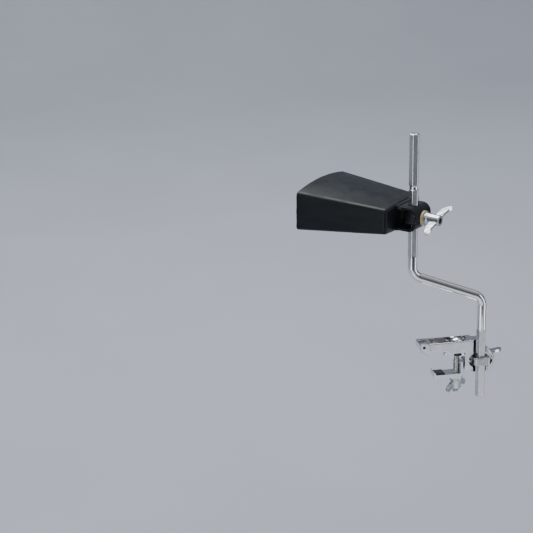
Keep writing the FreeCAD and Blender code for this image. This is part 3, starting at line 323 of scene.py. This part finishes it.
def bake_modifiers(piece):
    graph = bpy.context.evaluated_depsgraph_get()
    baked = bpy.data.meshes.new_from_object(piece.evaluated_get(graph))
    baked.name = piece.name
    piece.modifiers.clear()
    piece.data = baked


def clean_copy(node, cut=None):
    """merged copy of a node's mesh; cut is (point, normal) in mm, and drops what lies beyond that plane"""
    mesh = frame["nodes"][node].data.copy()
    form = bmesh.new()
    form.from_mesh(mesh)
    bmesh.ops.remove_doubles(form, verts=form.verts, dist=1e-6)
    bmesh.ops.dissolve_limit(form, angle_limit=math.radians(0.6), verts=form.verts, edges=form.edges)
    if cut:
        whole = form.verts[:] + form.edges[:] + form.faces[:]
        result = bmesh.ops.bisect_plane(form, geom=whole, plane_co=cut[0] * MM, plane_no=cut[1],
                                        clear_outer=True)
        rim = [e for e in result["geom_cut"] if isinstance(e, bmesh.types.BMEdge)]
        bmesh.ops.holes_fill(form, edges=rim)
    form.to_mesh(mesh)
    form.free()
    smooth_by_angle(mesh, SHARP_TURN)
    return mesh


def refined(node, body, material, width, cut=None):
    """the node's own shape with rounded edges, in place of the node"""
    piece = new_piece(node + "_finished", clean_copy(node, cut), body, material)
    finish_edges(piece, width)
    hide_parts(node)


# ------------------------------------------------------------------ geometry nodes

def start_tree(name, inputs):
    """node tree with a geometry output and named inputs"""
    tree = bpy.data.node_groups.new(name, "GeometryNodeTree")
    tree.interface.new_socket(name="Geometry", in_out="INPUT", socket_type="NodeSocketGeometry")
    for label, kind, value in inputs:
        socket = tree.interface.new_socket(name=label, in_out="INPUT", socket_type=kind)
        if value is not None:
            socket.default_value = value
    tree.interface.new_socket(name="Geometry", in_out="OUTPUT", socket_type="NodeSocketGeometry")
    return tree, tree.nodes.new("NodeGroupInput"), tree.nodes.new("NodeGroupOutput")


def node_of(tree, kind, settings=None, **links):
    """adds a node; each keyword names an input and gives its value or the socket that feeds it"""
    node = tree.nodes.new(kind)
    for name, value in (settings or {}).items():
        setattr(node, name, value)
    for name, value in links.items():
        socket = node.inputs[name.replace("_", " ")]
        if isinstance(value, bpy.types.NodeSocket):
            tree.links.new(value, socket)
        else:
            socket.default_value = value
    return node


def maths(tree, operation, first, second=0.0):
    node = tree.nodes.new("ShaderNodeMath")
    node.operation = operation
    for socket, value in zip(node.inputs, (first, second)):
        if isinstance(value, bpy.types.NodeSocket):
            tree.links.new(value, socket)
        else:
            socket.default_value = value
    return node.outputs[0]


def close_tree(tree, geometry, material, group_out):
    """realizes instances, sets the material and feeds the output"""
    real = node_of(tree, "GeometryNodeRealizeInstances", Geometry=geometry)
    painted = node_of(tree, "GeometryNodeSetMaterial", Geometry=real.outputs[0], Material=material)
    tree.links.new(painted.outputs[0], group_out.inputs[0])


def thread_tree():
    """threaded shank from the origin along +Z: a core with a helical ridge"""
    tree, given, out = start_tree("threaded_shank", (
        ("Outer Radius", "NodeSocketFloat", 3.0), ("Depth", "NodeSocketFloat", 0.45),
        ("Pitch", "NodeSocketFloat", 1.0), ("Length", "NodeSocketFloat", 20.0),
        ("Material", "NodeSocketMaterial", None)))
    radius, depth, pitch, length = [given.outputs[i] for i in (1, 2, 3, 4)]
    turns = maths(tree, "DIVIDE", maths(tree, "SUBTRACT", length, pitch), pitch)
    core_radius = maths(tree, "SUBTRACT", radius, depth)
    ridge_radius = maths(tree, "SUBTRACT", radius, maths(tree, "MULTIPLY", depth, 0.62))
    helix = node_of(tree, "GeometryNodeCurveSpiral", Resolution=36, Rotations=turns,
                    Start_Radius=ridge_radius, End_Radius=ridge_radius,
                    Height=maths(tree, "SUBTRACT", length, pitch))
    lifted = node_of(tree, "GeometryNodeTransform", Geometry=helix.outputs[0])
    offset = node_of(tree, "ShaderNodeCombineXYZ", Z=maths(tree, "MULTIPLY", pitch, 0.5))
    tree.links.new(offset.outputs[0], lifted.inputs["Translation"])
    profile = node_of(tree, "GeometryNodeCurvePrimitiveCircle", Resolution=6,
                      Radius=maths(tree, "MULTIPLY", depth, 0.62))
    ridge = node_of(tree, "GeometryNodeCurveToMesh", Curve=lifted.outputs[0],
                    Profile_Curve=profile.outputs[0], Fill_Caps=True)
    core = node_of(tree, "GeometryNodeMeshCylinder", Vertices=36, Radius=core_radius, Depth=length)
    half = node_of(tree, "ShaderNodeCombineXYZ", Z=maths(tree, "MULTIPLY", length, 0.5))
    raised = node_of(tree, "GeometryNodeTransform", Geometry=core.outputs[0])
    tree.links.new(half.outputs[0], raised.inputs["Translation"])
    both = tree.nodes.new("GeometryNodeJoinGeometry")
    tree.links.new(ridge.outputs[0], both.inputs[0])
    tree.links.new(raised.outputs[0], both.inputs[0])
    close_tree(tree, both.outputs[0], given.outputs[5], out)
    return tree


def weld_tree():
    """ripples of a weld bead along its curve: overlapping flattened drops of slightly uneven size"""
    tree, given, out = start_tree("weld_bead", (
        ("Bead Radius", "NodeSocketFloat", 1.6), ("Ripple Spacing", "NodeSocketFloat", 1.1),
        ("Unevenness", "NodeSocketFloat", 0.1), ("Seed", "NodeSocketInt", 7),
        ("Material", "NodeSocketMaterial", None)))
    dots = node_of(tree, "GeometryNodeCurveToPoints", {"mode": "LENGTH"}, Curve=given.outputs[0],
                   Length=given.outputs[2])
    drop = node_of(tree, "GeometryNodeMeshUVSphere", Segments=14, Rings=8, Radius=1.0)
    low = maths(tree, "SUBTRACT", 1.0, given.outputs[3])
    high = maths(tree, "ADD", 1.0, given.outputs[3])
    uneven = node_of(tree, "FunctionNodeRandomValue", {"data_type": "FLOAT"})
    for index, socket in ((2, low), (3, high)):
        tree.links.new(socket, uneven.inputs[index])
    tree.links.new(given.outputs[4], uneven.inputs["Seed"])
    size = maths(tree, "MULTIPLY", given.outputs[1], uneven.outputs[1])
    scale = node_of(tree, "ShaderNodeCombineXYZ", X=size, Y=size, Z=maths(tree, "MULTIPLY", size, 0.75))
    drops = node_of(tree, "GeometryNodeInstanceOnPoints", Points=dots.outputs["Points"],
                    Instance=drop.outputs["Mesh"], Rotation=dots.outputs["Rotation"])
    tree.links.new(scale.outputs[0], drops.inputs["Scale"])
    close_tree(tree, drops.outputs[0], given.outputs[5], out)
    return tree


THREAD = thread_tree()
THREAD_R = 2.97
THREAD_DEPTH = 0.45
THREAD_PITCH = 1.0
WELD = weld_tree()
WELD_UNEVENNESS = 0.09


def grow(name, tree, values, place, source=None):
    """plain mesh that a tree makes from named values, placed and scaled to metres"""
    holder = bpy.data.objects.new(name, source or bpy.data.meshes.new(name))
    bpy.context.scene.collection.objects.link(holder)
    modifier = holder.modifiers.new(name, "NODES")
    modifier.node_group = tree
    for socket in tree.interface.items_tree:
        if socket.name in values:
            modifier[socket.identifier] = values[socket.name]
    graph = bpy.context.evaluated_depsgraph_get()
    mesh = bpy.data.meshes.new_from_object(holder.evaluated_get(graph))
    mesh.name = name
    bpy.data.objects.remove(holder)
    mesh.transform(Matrix.Scale(MM, 4) @ place)
    smooth_by_angle(mesh, 40)
    return mesh


def threaded_shank(name, body, place, length, material):
    """M6 thread along the place's +X"""
    values = {"Outer Radius": THREAD_R, "Depth": THREAD_DEPTH, "Pitch": THREAD_PITCH, "Length": length,
              "Material": material}
    to_x = Matrix.Rotation(math.radians(90), 4, "Y")
    return new_piece(name, grow(name, THREAD, values, place @ to_x), body, material)


def weld_bead(name, body, points, radius, spacing, seed, place):
    path = bpy.data.curves.new(name, "CURVE")
    path.dimensions = "3D"
    line = path.splines.new("POLY")
    line.points.add(len(points) - 1)
    for point, spot in zip(line.points, points):
        point.co = (*spot, 1)
    values = {"Bead Radius": radius, "Ripple Spacing": spacing, "Unevenness": WELD_UNEVENNESS,
              "Seed": seed, "Material": WELD_COAT}
    return new_piece(name, grow(name, WELD, values, place, path), body, WELD_COAT)


# ------------------------------------------------------------------ rod

HEX_FLATS = 9.0
HEX_CORNER = 5.12
ROUND_R = 4.75
NECK_R = 4.2
BEND_R = 12.5
LOWER_BEND_Z = 56.0
UPPER_BEND_Z = 85.0
LOWER_HEX_TOP = 22.5
UPPER_HEX_LOW = 104.0
NECK_Z = 174.0
NECK_TALL = 4.0
NECK_STEP = 0.3
PRESS_RUN = 1.6
ROD_CHAMFER = 0.9
RING = 72
BEND_STEPS = 16


def ring_radius(angle, hexness, round_r):
    """radius of the rod's section, from round (0) to pressed hexagon (1)"""
    sector = (angle + math.pi / 6) % (math.pi / 3) - math.pi / 6
    sector = math.pi / 6 - abs(sector)
    flat = HEX_FLATS / 2 / math.cos(sector)
    return (1 - hexness) * round_r + hexness * min(flat, HEX_CORNER)


def rod_stations():
    """(centre, direction, hexness, round radius, shrink) along the rod, from its lower end"""
    low, high = node_box("z_rod")
    corner_r = HEX_FLATS / math.sqrt(3)
    x_low = high.x - corner_r
    x_high = low.x + corner_r
    y = (low.y + high.y) / 2
    stations = []

    def leg(x, runs):
        for z, hexness, radius, shrink in runs:
            stations.append((Vector((x, y, z)), UP.copy(), hexness, radius, shrink))

    def bend(corner, turn_from, turn_to):
        start = math.atan2(turn_from.z, turn_from.x)
        swing = turn_from.angle(turn_to)
        sign = 1 if turn_from.cross(turn_to).y < 0 else -1
        reach = BEND_R * math.tan(swing / 2)
        begin = corner - turn_from * reach
        middle = begin + Vector((-turn_from.z, 0, turn_from.x)) * BEND_R * sign
        for step in range(BEND_STEPS + 1):
            angle = start + sign * swing * step / BEND_STEPS
            way = Vector((math.cos(angle), 0, math.sin(angle)))
            stations.append((middle + Vector((way.z, 0, -way.x)) * BEND_R * sign, way, 0, ROUND_R, 1))

    leg(x_low, ((low.z, 1, ROUND_R, 1 - ROD_CHAMFER / HEX_CORNER), (low.z + ROD_CHAMFER, 1, ROUND_R, 1),
                (LOWER_HEX_TOP - PRESS_RUN, 1, ROUND_R, 1), (LOWER_HEX_TOP, 0, ROUND_R, 1)))
    corner_low = Vector((x_low, y, LOWER_BEND_Z))
    corner_high = Vector((x_high, y, UPPER_BEND_Z))
    slope = (corner_high - corner_low).normalized()
    bend(corner_low, UP, slope)
    bend(corner_high, slope, UP)
    leg(x_high, ((UPPER_HEX_LOW, 0, ROUND_R, 1), (UPPER_HEX_LOW + PRESS_RUN, 1, ROUND_R, 1),
                 (NECK_Z - NECK_STEP, 1, ROUND_R, 1), (NECK_Z + NECK_STEP, 0, NECK_R, 1),
                 (NECK_Z + NECK_TALL - NECK_STEP, 0, NECK_R, 1),
                 (NECK_Z + NECK_TALL + NECK_STEP, 1, ROUND_R, 1),
                 (high.z - ROD_CHAMFER, 1, ROUND_R, 1), (high.z, 1, ROUND_R, 1 - ROD_CHAMFER / HEX_CORNER)))
    return stations


def make_rod():
    verts = []
    faces = []
    pressed = []
    stations = rod_stations()
    for centre, way, hexness, radius, shrink in stations:
        side = Vector((0, 1, 0))
        across = side.cross(way)
        for k in range(RING):
            angle = 2 * math.pi * k / RING
            r = ring_radius(angle, hexness, radius) * shrink
            verts.append(centre + across * r * math.cos(angle) + side * r * math.sin(angle))
    for row in range(len(stations) - 1):
        flat = stations[row][2] + stations[row + 1][2] > 1.5
        for k in range(RING):
            faces.append(quad(row, k, RING))
            pressed.append(flat)
    last = (len(stations) - 1) * RING
    faces.append(tuple(range(RING)))
    faces.append(tuple(range(last, last + RING)))
    pressed.extend((True, True))
    mesh = mesh_from(verts, faces, "z_rod_finished")
    smooth_by_angle(mesh, 24)
    piece = new_piece("z_rod_finished", mesh, "rod", MIRROR_CHROME, HEX_CHROME)
    for face, flat in zip(mesh.polygons, pressed):
        face.material_index = 1 if flat else 0
    finish_edges(piece, 0.22, 24, 2)
    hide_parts("z_rod")


# ------------------------------------------------------------------ bell

BELL_CLOSED = 11.5
BELL_LENGTH = 95.5
BELL_WALL = 1.5
BELL_CORNER = 4.5
BELL_FOLD = 3.6
SEAM_HALF = 0.9
END = {"width": 70.0, "side": 25.8, "crown": 1.4}
MOUTH = {"width": 93.0, "side": 38.4, "crown": 5.0}
SHEET_WAVE = 0.10
WALL_STEPS = 5
CORNER_STEPS = 8
ARCH_STEPS = 20
FOLD_STEPS = 8
LENGTH_STEPS = 30

SWIVEL = JOINTS["bell_swivel"]
NUT_AXIS = Vector(JOINTS["bell_nut_turn"]["axis"])
BELL_PLACE = along(Vector(SWIVEL["pos_m"]) / MM, -NUT_AXIS)


def half_outline(share, inset):
    """upper half of the bell's section, from +Y over the top to -Y, at a share of its length"""
    width, side, crown = [END[key] * (1 - share) + MOUTH[key] * share for key in ("width", "side", "crown")]
    half = width / 2 - inset
    tall = side / 2 - inset
    corner = max(BELL_CORNER - inset, 0.4)
    arch = (half * half + crown * crown) / (2 * crown)
    centre = tall + crown - arch
    reach = arch - corner
    across = half - corner
    height = math.sqrt(reach * reach - across * across)
    lean = math.atan2(across, height)
    points = [(half, SEAM_HALF + (centre + height - SEAM_HALF) * i / WALL_STEPS)
              for i in range(WALL_STEPS)]
    for i in range(CORNER_STEPS + 1):
        angle = (math.pi / 2 - lean) * i / CORNER_STEPS
        points.append((across + corner * math.cos(angle), centre + height + corner * math.sin(angle)))
    for i in range(1, ARCH_STEPS):
        angle = lean - lean * i / ARCH_STEPS
        points.append((arch * math.sin(angle), centre + arch * math.cos(angle)))
    top = (0.0, centre + arch)
    return points + [top] + [(-y, z) for y, z in reversed(points)]


def shell_rows(inset):
    """rows of points of one skin of the upper shell, from the closed end to the mouth"""
    rows = []
    fold = BELL_FOLD - inset
    for step in range(FOLD_STEPS + 1):
        angle = math.pi / 2 * step / FOLD_STEPS
        x = BELL_CLOSED + inset + fold * (1 - math.cos(angle))
        rows.append([(x, y, z) for y, z in half_outline(0, inset + fold * (1 - math.sin(angle)))])
    start = BELL_CLOSED + BELL_FOLD
    length = BELL_LENGTH - BELL_FOLD
    for step in range(1, LENGTH_STEPS + 1):
        share = step / LENGTH_STEPS
        rows.append([(start + length * share, y, z) for y, z in half_outline(share, inset)])
    return rows


def sheet_wave(point, share):
    """slight unevenness of hand-folded sheet, none at the seam and the closed end"""
    x, y, z = point
    calm = min(1.0, max(0.0, (abs(z) - 3) / 8)) * min(1.0, share * 4)
    return z + SHEET_WAVE * calm * noise.noise(Vector((x / 17, y / 14, z / 40 + 5.3)))


def make_shell(name, node, sign):
    outer = shell_rows(0)
    inner = shell_rows(BELL_WALL)
    count = len(outer[0])
    rows = len(outer)
    verts = []
    for skin in (outer, inner):
        for row, line in enumerate(skin):
            for x, y, z in line:
                verts.append((x, y, sign * sheet_wave((x, y, z), row / rows)))
    base = rows * count
    faces = []
    for row in range(rows - 1):
        for k in range(count - 1):
            a = row * count + k
            faces.append((a, a + 1, a + count + 1, a + count))
            faces.append((base + a, base + a + count, base + a + count + 1, base + a + 1))
        for k in (0, count - 1):
            a = row * count + k
            faces.append((a, a + count, base + a + count, base + a))
    last = (rows - 1) * count
    for k in range(count - 1):
        faces.append((last + k, last + k + 1, base + last + k + 1, base + last + k))
    faces.append(tuple(range(count)))
    faces.append(tuple(base + k for k in range(count)))
    faces.append((0, count - 1, base + count - 1, base))
    mesh = mesh_from(verts, faces, name, BELL_PLACE)
    smooth_by_angle(mesh, 40)
    piece = new_piece(name, mesh, "bell", BLACK_COAT)
    finish_edges(piece, 0.4, 55, 3, SWIVEL["pos_m"][2] / MM)
    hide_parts(node)


SEAM_REACH = 2.6
SEAM_CROWN = 0.07
SEAM_EDGE = -0.12
SEAM_ROOT = -1.35


def seam_path():
    """(x, y) and outward way along one side of the bell, from the mouth round the closed end"""
    start = BELL_CLOSED + BELL_FOLD
    length = BELL_LENGTH - BELL_FOLD
    widening = MOUTH["width"] - END["width"]
    out = Vector((-widening / 2 / length, 1)).normalized()
    path = []
    for step in range(61):
        share = 1 - step / 60
        path.append((Vector((start + length * share, (END["width"] + widening * share) / 2)), out))
    middle = Vector((start, END["width"] / 2 - BELL_FOLD))
    for step in range(1, 13):
        angle = math.pi / 2 * step / 12
        way = Vector((-math.sin(angle), math.cos(angle)))
        path.append((middle + way * BELL_FOLD, way))
    for step in range(1, 21):
        path.append((Vector((BELL_CLOSED, middle.y * (1 - step / 20))), Vector((-1, 0))))
    return path


def make_bell_seam():
    """low ground-down weld along one side, round the closed end and back along the other side"""
    half = seam_path()
    path = half + [(Vector((spot.x, -spot.y)), Vector((way.x, -way.y))) for spot, way in reversed(half[:-1])]
    profile = [(-SEAM_HALF, SEAM_ROOT), (-SEAM_REACH, SEAM_EDGE)]
    for step in range(1, 8):
        across = SEAM_REACH * (2 * step / 8 - 1)
        profile.append((across, SEAM_EDGE + (SEAM_CROWN - SEAM_EDGE) * (1 - (across / SEAM_REACH) ** 2)))
    profile += [(SEAM_REACH, SEAM_EDGE), (SEAM_HALF, SEAM_ROOT)]
    verts = []
    faces = []
    count = len(profile)
    for row, (spot, way) in enumerate(path):
        lump = 0.03 * noise.noise(Vector((row * 0.9, 3.1, 0.4)))
        for z, rise in profile:
            lift = rise + (lump if rise > 0 else 0)
            verts.append((spot.x + way.x * lift, spot.y + way.y * lift, z))
    for row in range(len(path) - 1):
        for k in range(count):
            faces.append(quad(row, k, count))
    last = (len(path) - 1) * count
    faces.append(tuple(range(count)))
    faces.append(tuple(range(last, last + count)))
    mesh = mesh_from(verts, faces, "bell_seam_bead", BELL_PLACE)
    smooth_by_angle(mesh, 40)
    piece = new_piece("bell_seam_bead", mesh, "bell", WELD_COAT)
    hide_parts("bell_seam_weld")


STRAP_WELD = {"reach": 13.0, "root": 11.7, "sunk": 0.2, "radius": 1.6, "ripple": 1.15, "seed": 11}


def make_strap_welds():
    x = BELL_CLOSED - STRAP_WELD["sunk"]
    reach = STRAP_WELD["reach"]
    for label, sign in (("upper", 1), ("lower", -1)):
        z = sign * STRAP_WELD["root"]
        weld_bead("strap_weld_" + label, "bell", [(x, -reach, z), (x, reach, z)],
                                STRAP_WELD["radius"], STRAP_WELD["ripple"], STRAP_WELD["seed"] + sign,
                                BELL_PLACE)
    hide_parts("strap_welds")


# ------------------------------------------------------------------ bolts

BOLT_R = 3.0
NECK_BOLT_R = 2.95
HEAD_INNER_R = 2.9
HEAD_EDGE = 0.25
HEAD_WALL = 0.5
DOME_POLE = 0.02
DOME_STEPS = 16
THREAD_OVER_NUT = 4
EYE_BACK = 8.6
EYE_ROUND = 0.5
THREAD_OVERLAP = 0.2


def turned(profile, name, place, steps=64):
    """solid of revolution about +X from (x, radius) corners"""
    verts = []
    faces = []
    for x, radius in profile:
        for k in range(steps):
            angle = 2 * math.pi * k / steps
            verts.append((x, radius * math.cos(angle), radius * math.sin(angle)))
    for row in range(len(profile) - 1):
        for k in range(steps):
            faces.append(quad(row, k, steps))
    faces.append(tuple(range(steps)))
    last = (len(profile) - 1) * steps
    faces.append(tuple(range(last, last + steps)))
    return mesh_from(verts, faces, name, place)


def make_clamp_bolt():
    """dome head on a round neck, with a threaded shank below the arm"""
    low, high = node_box("clamp_bolt")
    ring_top = node_box("bolt_head_washer")[1].z
    axis = Vector(((low.x + high.x) / 2, (low.y + high.y) / 2, 0))
    dome_r = (high.x - low.x) / 2
    rise = high.z - ring_top - HEAD_WALL
    sphere = (dome_r * dome_r + rise * rise) / (2 * rise)
    swing = math.asin(dome_r / sphere)
    profile = [(ring_top, HEAD_INNER_R), (ring_top, dome_r - HEAD_EDGE), (ring_top + HEAD_EDGE, dome_r)]
    for step in range(DOME_STEPS + 1):
        angle = swing * (1 - step / DOME_STEPS)
        profile.append((high.z - sphere * (1 - math.cos(angle)), max(sphere * math.sin(angle), DOME_POLE)))
    place = along(axis, UP, (1, 0, 0))
    mesh = turned(profile, "clamp_bolt_head", place)
    smooth_by_angle(mesh, 50)
    head = new_piece("clamp_bolt_head", mesh, "hoop_clamp", NUT_CHROME)
    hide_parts("clamp_bolt")
    thread_top = node_box("bolt_lock_nut")[0].z + THREAD_OVER_NUT
    down = along(axis + UP * ring_top, -UP, (1, 0, 0))
    neck = turned([(0, NECK_BOLT_R), (ring_top - thread_top, NECK_BOLT_R)], "clamp_bolt_neck", down, 48)
    smooth_by_angle(neck, 40)
    new_piece("clamp_bolt_neck", neck, "hoop_clamp", ZINC)
    start = along(axis + UP * thread_top, -UP, (1, 0, 0))
    threaded_shank("clamp_bolt_thread", "hoop_clamp", start, thread_top - low.z, ZINC)


def make_eye_bolt(node, body, joint, steel):
    """eye with rounded edges and a threaded shank, about the axis of the nut that pulls it"""
    axis = Vector(JOINTS[joint]["axis"]).normalized()
    origin = Vector(JOINTS[joint]["pos_m"]) / MM
    refined(node, body, steel, EYE_ROUND, (origin + axis * EYE_BACK, axis))
    low, high = node_box(node)
    reach = max((Vector((x, y, 0)) - Vector((origin.x, origin.y, 0))).dot(axis)
                for x in (low.x, high.x) for y in (low.y, high.y))
    # A turned bolt's box reaches past the middle of its end, by its radius along both axes.
    reach -= BOLT_R * abs(axis.x) * abs(axis.y) * 2
    start = along(origin + axis * (EYE_BACK - THREAD_OVERLAP), axis)
    threaded_shank(node + "_thread", body, start, reach - EYE_BACK, steel)


# ------------------------------------------------------------------ pieces

make_rod()
make_shell("bell_upper_sheet", "bell_upper_shell", 1)
make_shell("bell_lower_sheet", "bell_lower_shell", -1)
make_bell_seam()
make_strap_welds()
refined("mount_strap", "bell", BLACK_COAT, 0.35)
make_clamp_bolt()
make_eye_bolt("rod_eye_bolt", "rod_eye", "rod_nut_turn", ZINC)
# the bell's eye bolt takes the darkened zinc, whose darkness is partly painted shade of the strap's inside
make_eye_bolt("bell_eye_bolt", "bell_eye", "bell_nut_turn", EYE_STEEL_WITH_PAINTED_SHADE)

PLAIN = (
    ("clamp_arm", "hoop_clamp", CAST_CHROME, 0.45), ("inner_jaw", "hoop_clamp", CAST_CHROME, 0.35),
    ("jaw_pin", "hoop_clamp", DARK_STEEL, 0.15), ("seat_pad", "hoop_clamp", RUBBER, 0.2),
    ("pad_screw", "hoop_clamp", BRASS, 0.15), ("bolt_head_washer", "hoop_clamp", NYLON, 0.15),
    ("bolt_lock_nut", "hoop_clamp", DARK_STEEL, 0.25), ("lower_claw", "claw", CAST_CHROME, 0.4),
    ("claw_pad", "claw", RUBBER, 0.25), ("claw_washer", "claw", ZINC, 0.15),
    ("claw_wing_nut", "claw_nut", NUT_CHROME, 0.5), ("rod_flat_washer", "hoop_clamp", ZINC, 0.15),
    ("rod_lock_washer", "hoop_clamp", ZINC, 0.15), ("rod_wing_nut", "rod_nut", NUT_CHROME, 0.6),
    ("bell_fibre_washer", "bell", FIBRE, 0.25), ("bell_flat_washer", "bell", ZINC, 0.15),
    ("bell_wing_nut", "bell_nut", NUT_CHROME, 0.6),
)
for node, body, material, width in PLAIN:
    refined(node, body, material, width)


# ------------------------------------------------------------------ floor, light and camera

FLOOR_DROP = 520.0
FLOOR_FRONT = -6000.0
FLOOR_HALF_WIDTH = 9000.0
FLOOR_BACK = 3200.0
FLOOR_SWEEP = 1500.0
FLOOR_STEPS = 16
WALL_TOP = 5200.0
CARD_DROP = 0.25


def make_floor():
    """wide pale floor that curves up into a backdrop behind the object"""
    level = CAD_BOX[0][2] / MM - FLOOR_DROP
    profile = [(FLOOR_FRONT, level)]
    for step in range(FLOOR_STEPS + 1):
        angle = math.pi / 2 * step / FLOOR_STEPS
        profile.append((FLOOR_BACK + FLOOR_SWEEP * math.sin(angle),
                        level + FLOOR_SWEEP * (1 - math.cos(angle))))
    profile.append((FLOOR_BACK + FLOOR_SWEEP, level + WALL_TOP))
    verts = []
    faces = []
    for y, z in profile:
        verts.extend(((-FLOOR_HALF_WIDTH, y, z), (FLOOR_HALF_WIDTH, y, z)))
    for row in range(len(profile) - 1):
        faces.append((2 * row, 2 * row + 1, 2 * row + 3, 2 * row + 2))
    mesh = bpy.data.meshes.new("floor")
    mesh.from_pydata([Vector(v) * MM for v in verts], [], faces)
    for face in mesh.polygons:
        face.use_smooth = True
    mesh.materials.append(floor_paint("pale_floor", 0.425))
    floor = bpy.data.objects.new("floor", mesh)
    bpy.context.scene.collection.objects.link(floor)


def add_card(name, near, far, half_near, half_far, material):
    """flat card below the view, between two distances in front of the object, that the metal reflects"""
    level = CAD_BOX[0][2] - CARD_DROP
    corners = ((-half_far, -far, level), (half_far, -far, level),
               (half_near, -near, level), (-half_near, -near, level))
    mesh = bpy.data.meshes.new(name)
    mesh.from_pydata([Vector(corner) for corner in corners], [], [(0, 1, 2, 3)])
    mesh.materials.append(material)
    card = bpy.data.objects.new(name, mesh)
    bpy.context.scene.collection.objects.link(card)


def make_cards():
    """dark cloth that gives the tall rod its dark line, and a white board that lights the clamp's face"""
    add_card("dark_cloth", 0.97, 2.15, 0.26, 0.62, rubber("cloth_black"))
    add_card("white_board", 0.20, 0.95, 0.30, 0.42, floor_paint("board_white", 0.78))


def add_light(name, place, target, size, power, colour=(1, 1, 1)):
    lamp = bpy.data.lights.new(name, "AREA")
    lamp.shape = "RECTANGLE"
    lamp.size, lamp.size_y = size
    lamp.energy = power
    lamp.color = colour
    holder = bpy.data.objects.new(name, lamp)
    holder.location = place
    holder.rotation_euler = (Vector(target) - Vector(place)).to_track_quat("-Z", "Y").to_euler()
    bpy.context.scene.collection.objects.link(holder)


def make_light():
    """soft lights overhead, at both sides, on the backdrop and on the board, in a room darker in front"""
    middle = (-0.03, 0.03, 0.09)
    add_light("overhead", (-0.2, 0.9, 2.0), middle, (1.8, 1.2), 44)
    add_light("left_low", (-1.1, -1.05, 0.0), middle, (0.4, 1.2), 5, (1.0, 0.985, 0.96))
    add_light("left_high", (-1.0, 0.6, 1.7), middle, (1.0, 1.0), 9)
    add_light("right_low", (1.2, -0.6, 0.0), middle, (0.35, 1.2), 4, (0.96, 0.98, 1.0))
    add_light("backdrop", (0.2, 1.6, 1.9), (0.3, 4.0, 0.3), (2.0, 1.0), 60)
    add_light("board", (-0.2, -1.1, 0.9), (0.0, -0.5, -0.3), (0.9, 0.6), 4)
    world = bpy.data.worlds.new("studio")
    world.use_nodes = True
    tree = world.node_tree
    backdrop = tree.nodes["Background"]
    coords = tree.nodes.new("ShaderNodeTexCoord")
    split = tree.nodes.new("ShaderNodeSeparateXYZ")
    tree.links.new(coords.outputs["Generated"], split.inputs[0])
    height = shade_by(tree, split.outputs["Z"],
                      ((0.0, 0.42), (0.50, 0.36), (0.56, 0.16), (0.70, 0.50), (1.0, 0.95)))
    depth = shade_by(tree, split.outputs["Y"], ((0.0, 0.34), (0.30, 0.42), (0.55, 0.85), (1.0, 1.0)))
    mixed = blend_colours(tree, depth, (0.0, 0.0, 0.0), height)
    tree.links.new(mixed, backdrop.inputs["Color"])
    backdrop.inputs["Strength"].default_value = 1.0
    bpy.context.scene.world = world


def shade_by(tree, axis, stops):
    """cool grey that follows one axis of the room, from -1 (stop 0) to 1 (stop 1)"""
    ramp = tree.nodes.new("ShaderNodeValToRGB")
    tree.links.new(spread(tree, axis, -1.0, 1.0, 0.0, 1.0), ramp.inputs["Fac"])
    ramp.color_ramp.elements[0].position = stops[0][0]
    ramp.color_ramp.elements[1].position = stops[-1][0]
    for position, _ in stops[1:-1]:
        ramp.color_ramp.elements.new(position)
    for element, (_, value) in zip(ramp.color_ramp.elements, stops):
        element.color = (value, value * 1.01, value * 1.04, 1)
    return ramp.outputs["Color"]


def make_camera():
    """long lens from the front left, a little above the bell"""
    azimuth, elevation, roll = math.radians(13.66), math.radians(18.1), math.radians(-0.19)
    aim = Vector((-0.1655, 0.0561, 0.0845))
    distance = 2.4667
    look = Vector((math.sin(azimuth) * math.cos(elevation), math.cos(azimuth) * math.cos(elevation),
                   -math.sin(elevation)))
    lens = bpy.data.cameras.new("camera")
    lens.sensor_width = 36.0
    lens.lens = 165.5
    lens.clip_end = 60.0
    camera = bpy.data.objects.new("camera", lens)
    turn = look.to_track_quat("-Z", "Y").to_matrix() @ Matrix.Rotation(roll, 3, "Z")
    camera.matrix_world = Matrix.Translation(aim - look * distance) @ turn.to_4x4()
    bpy.context.scene.collection.objects.link(camera)
    bpy.context.scene.camera = camera


make_floor()
make_cards()
make_light()
make_camera()
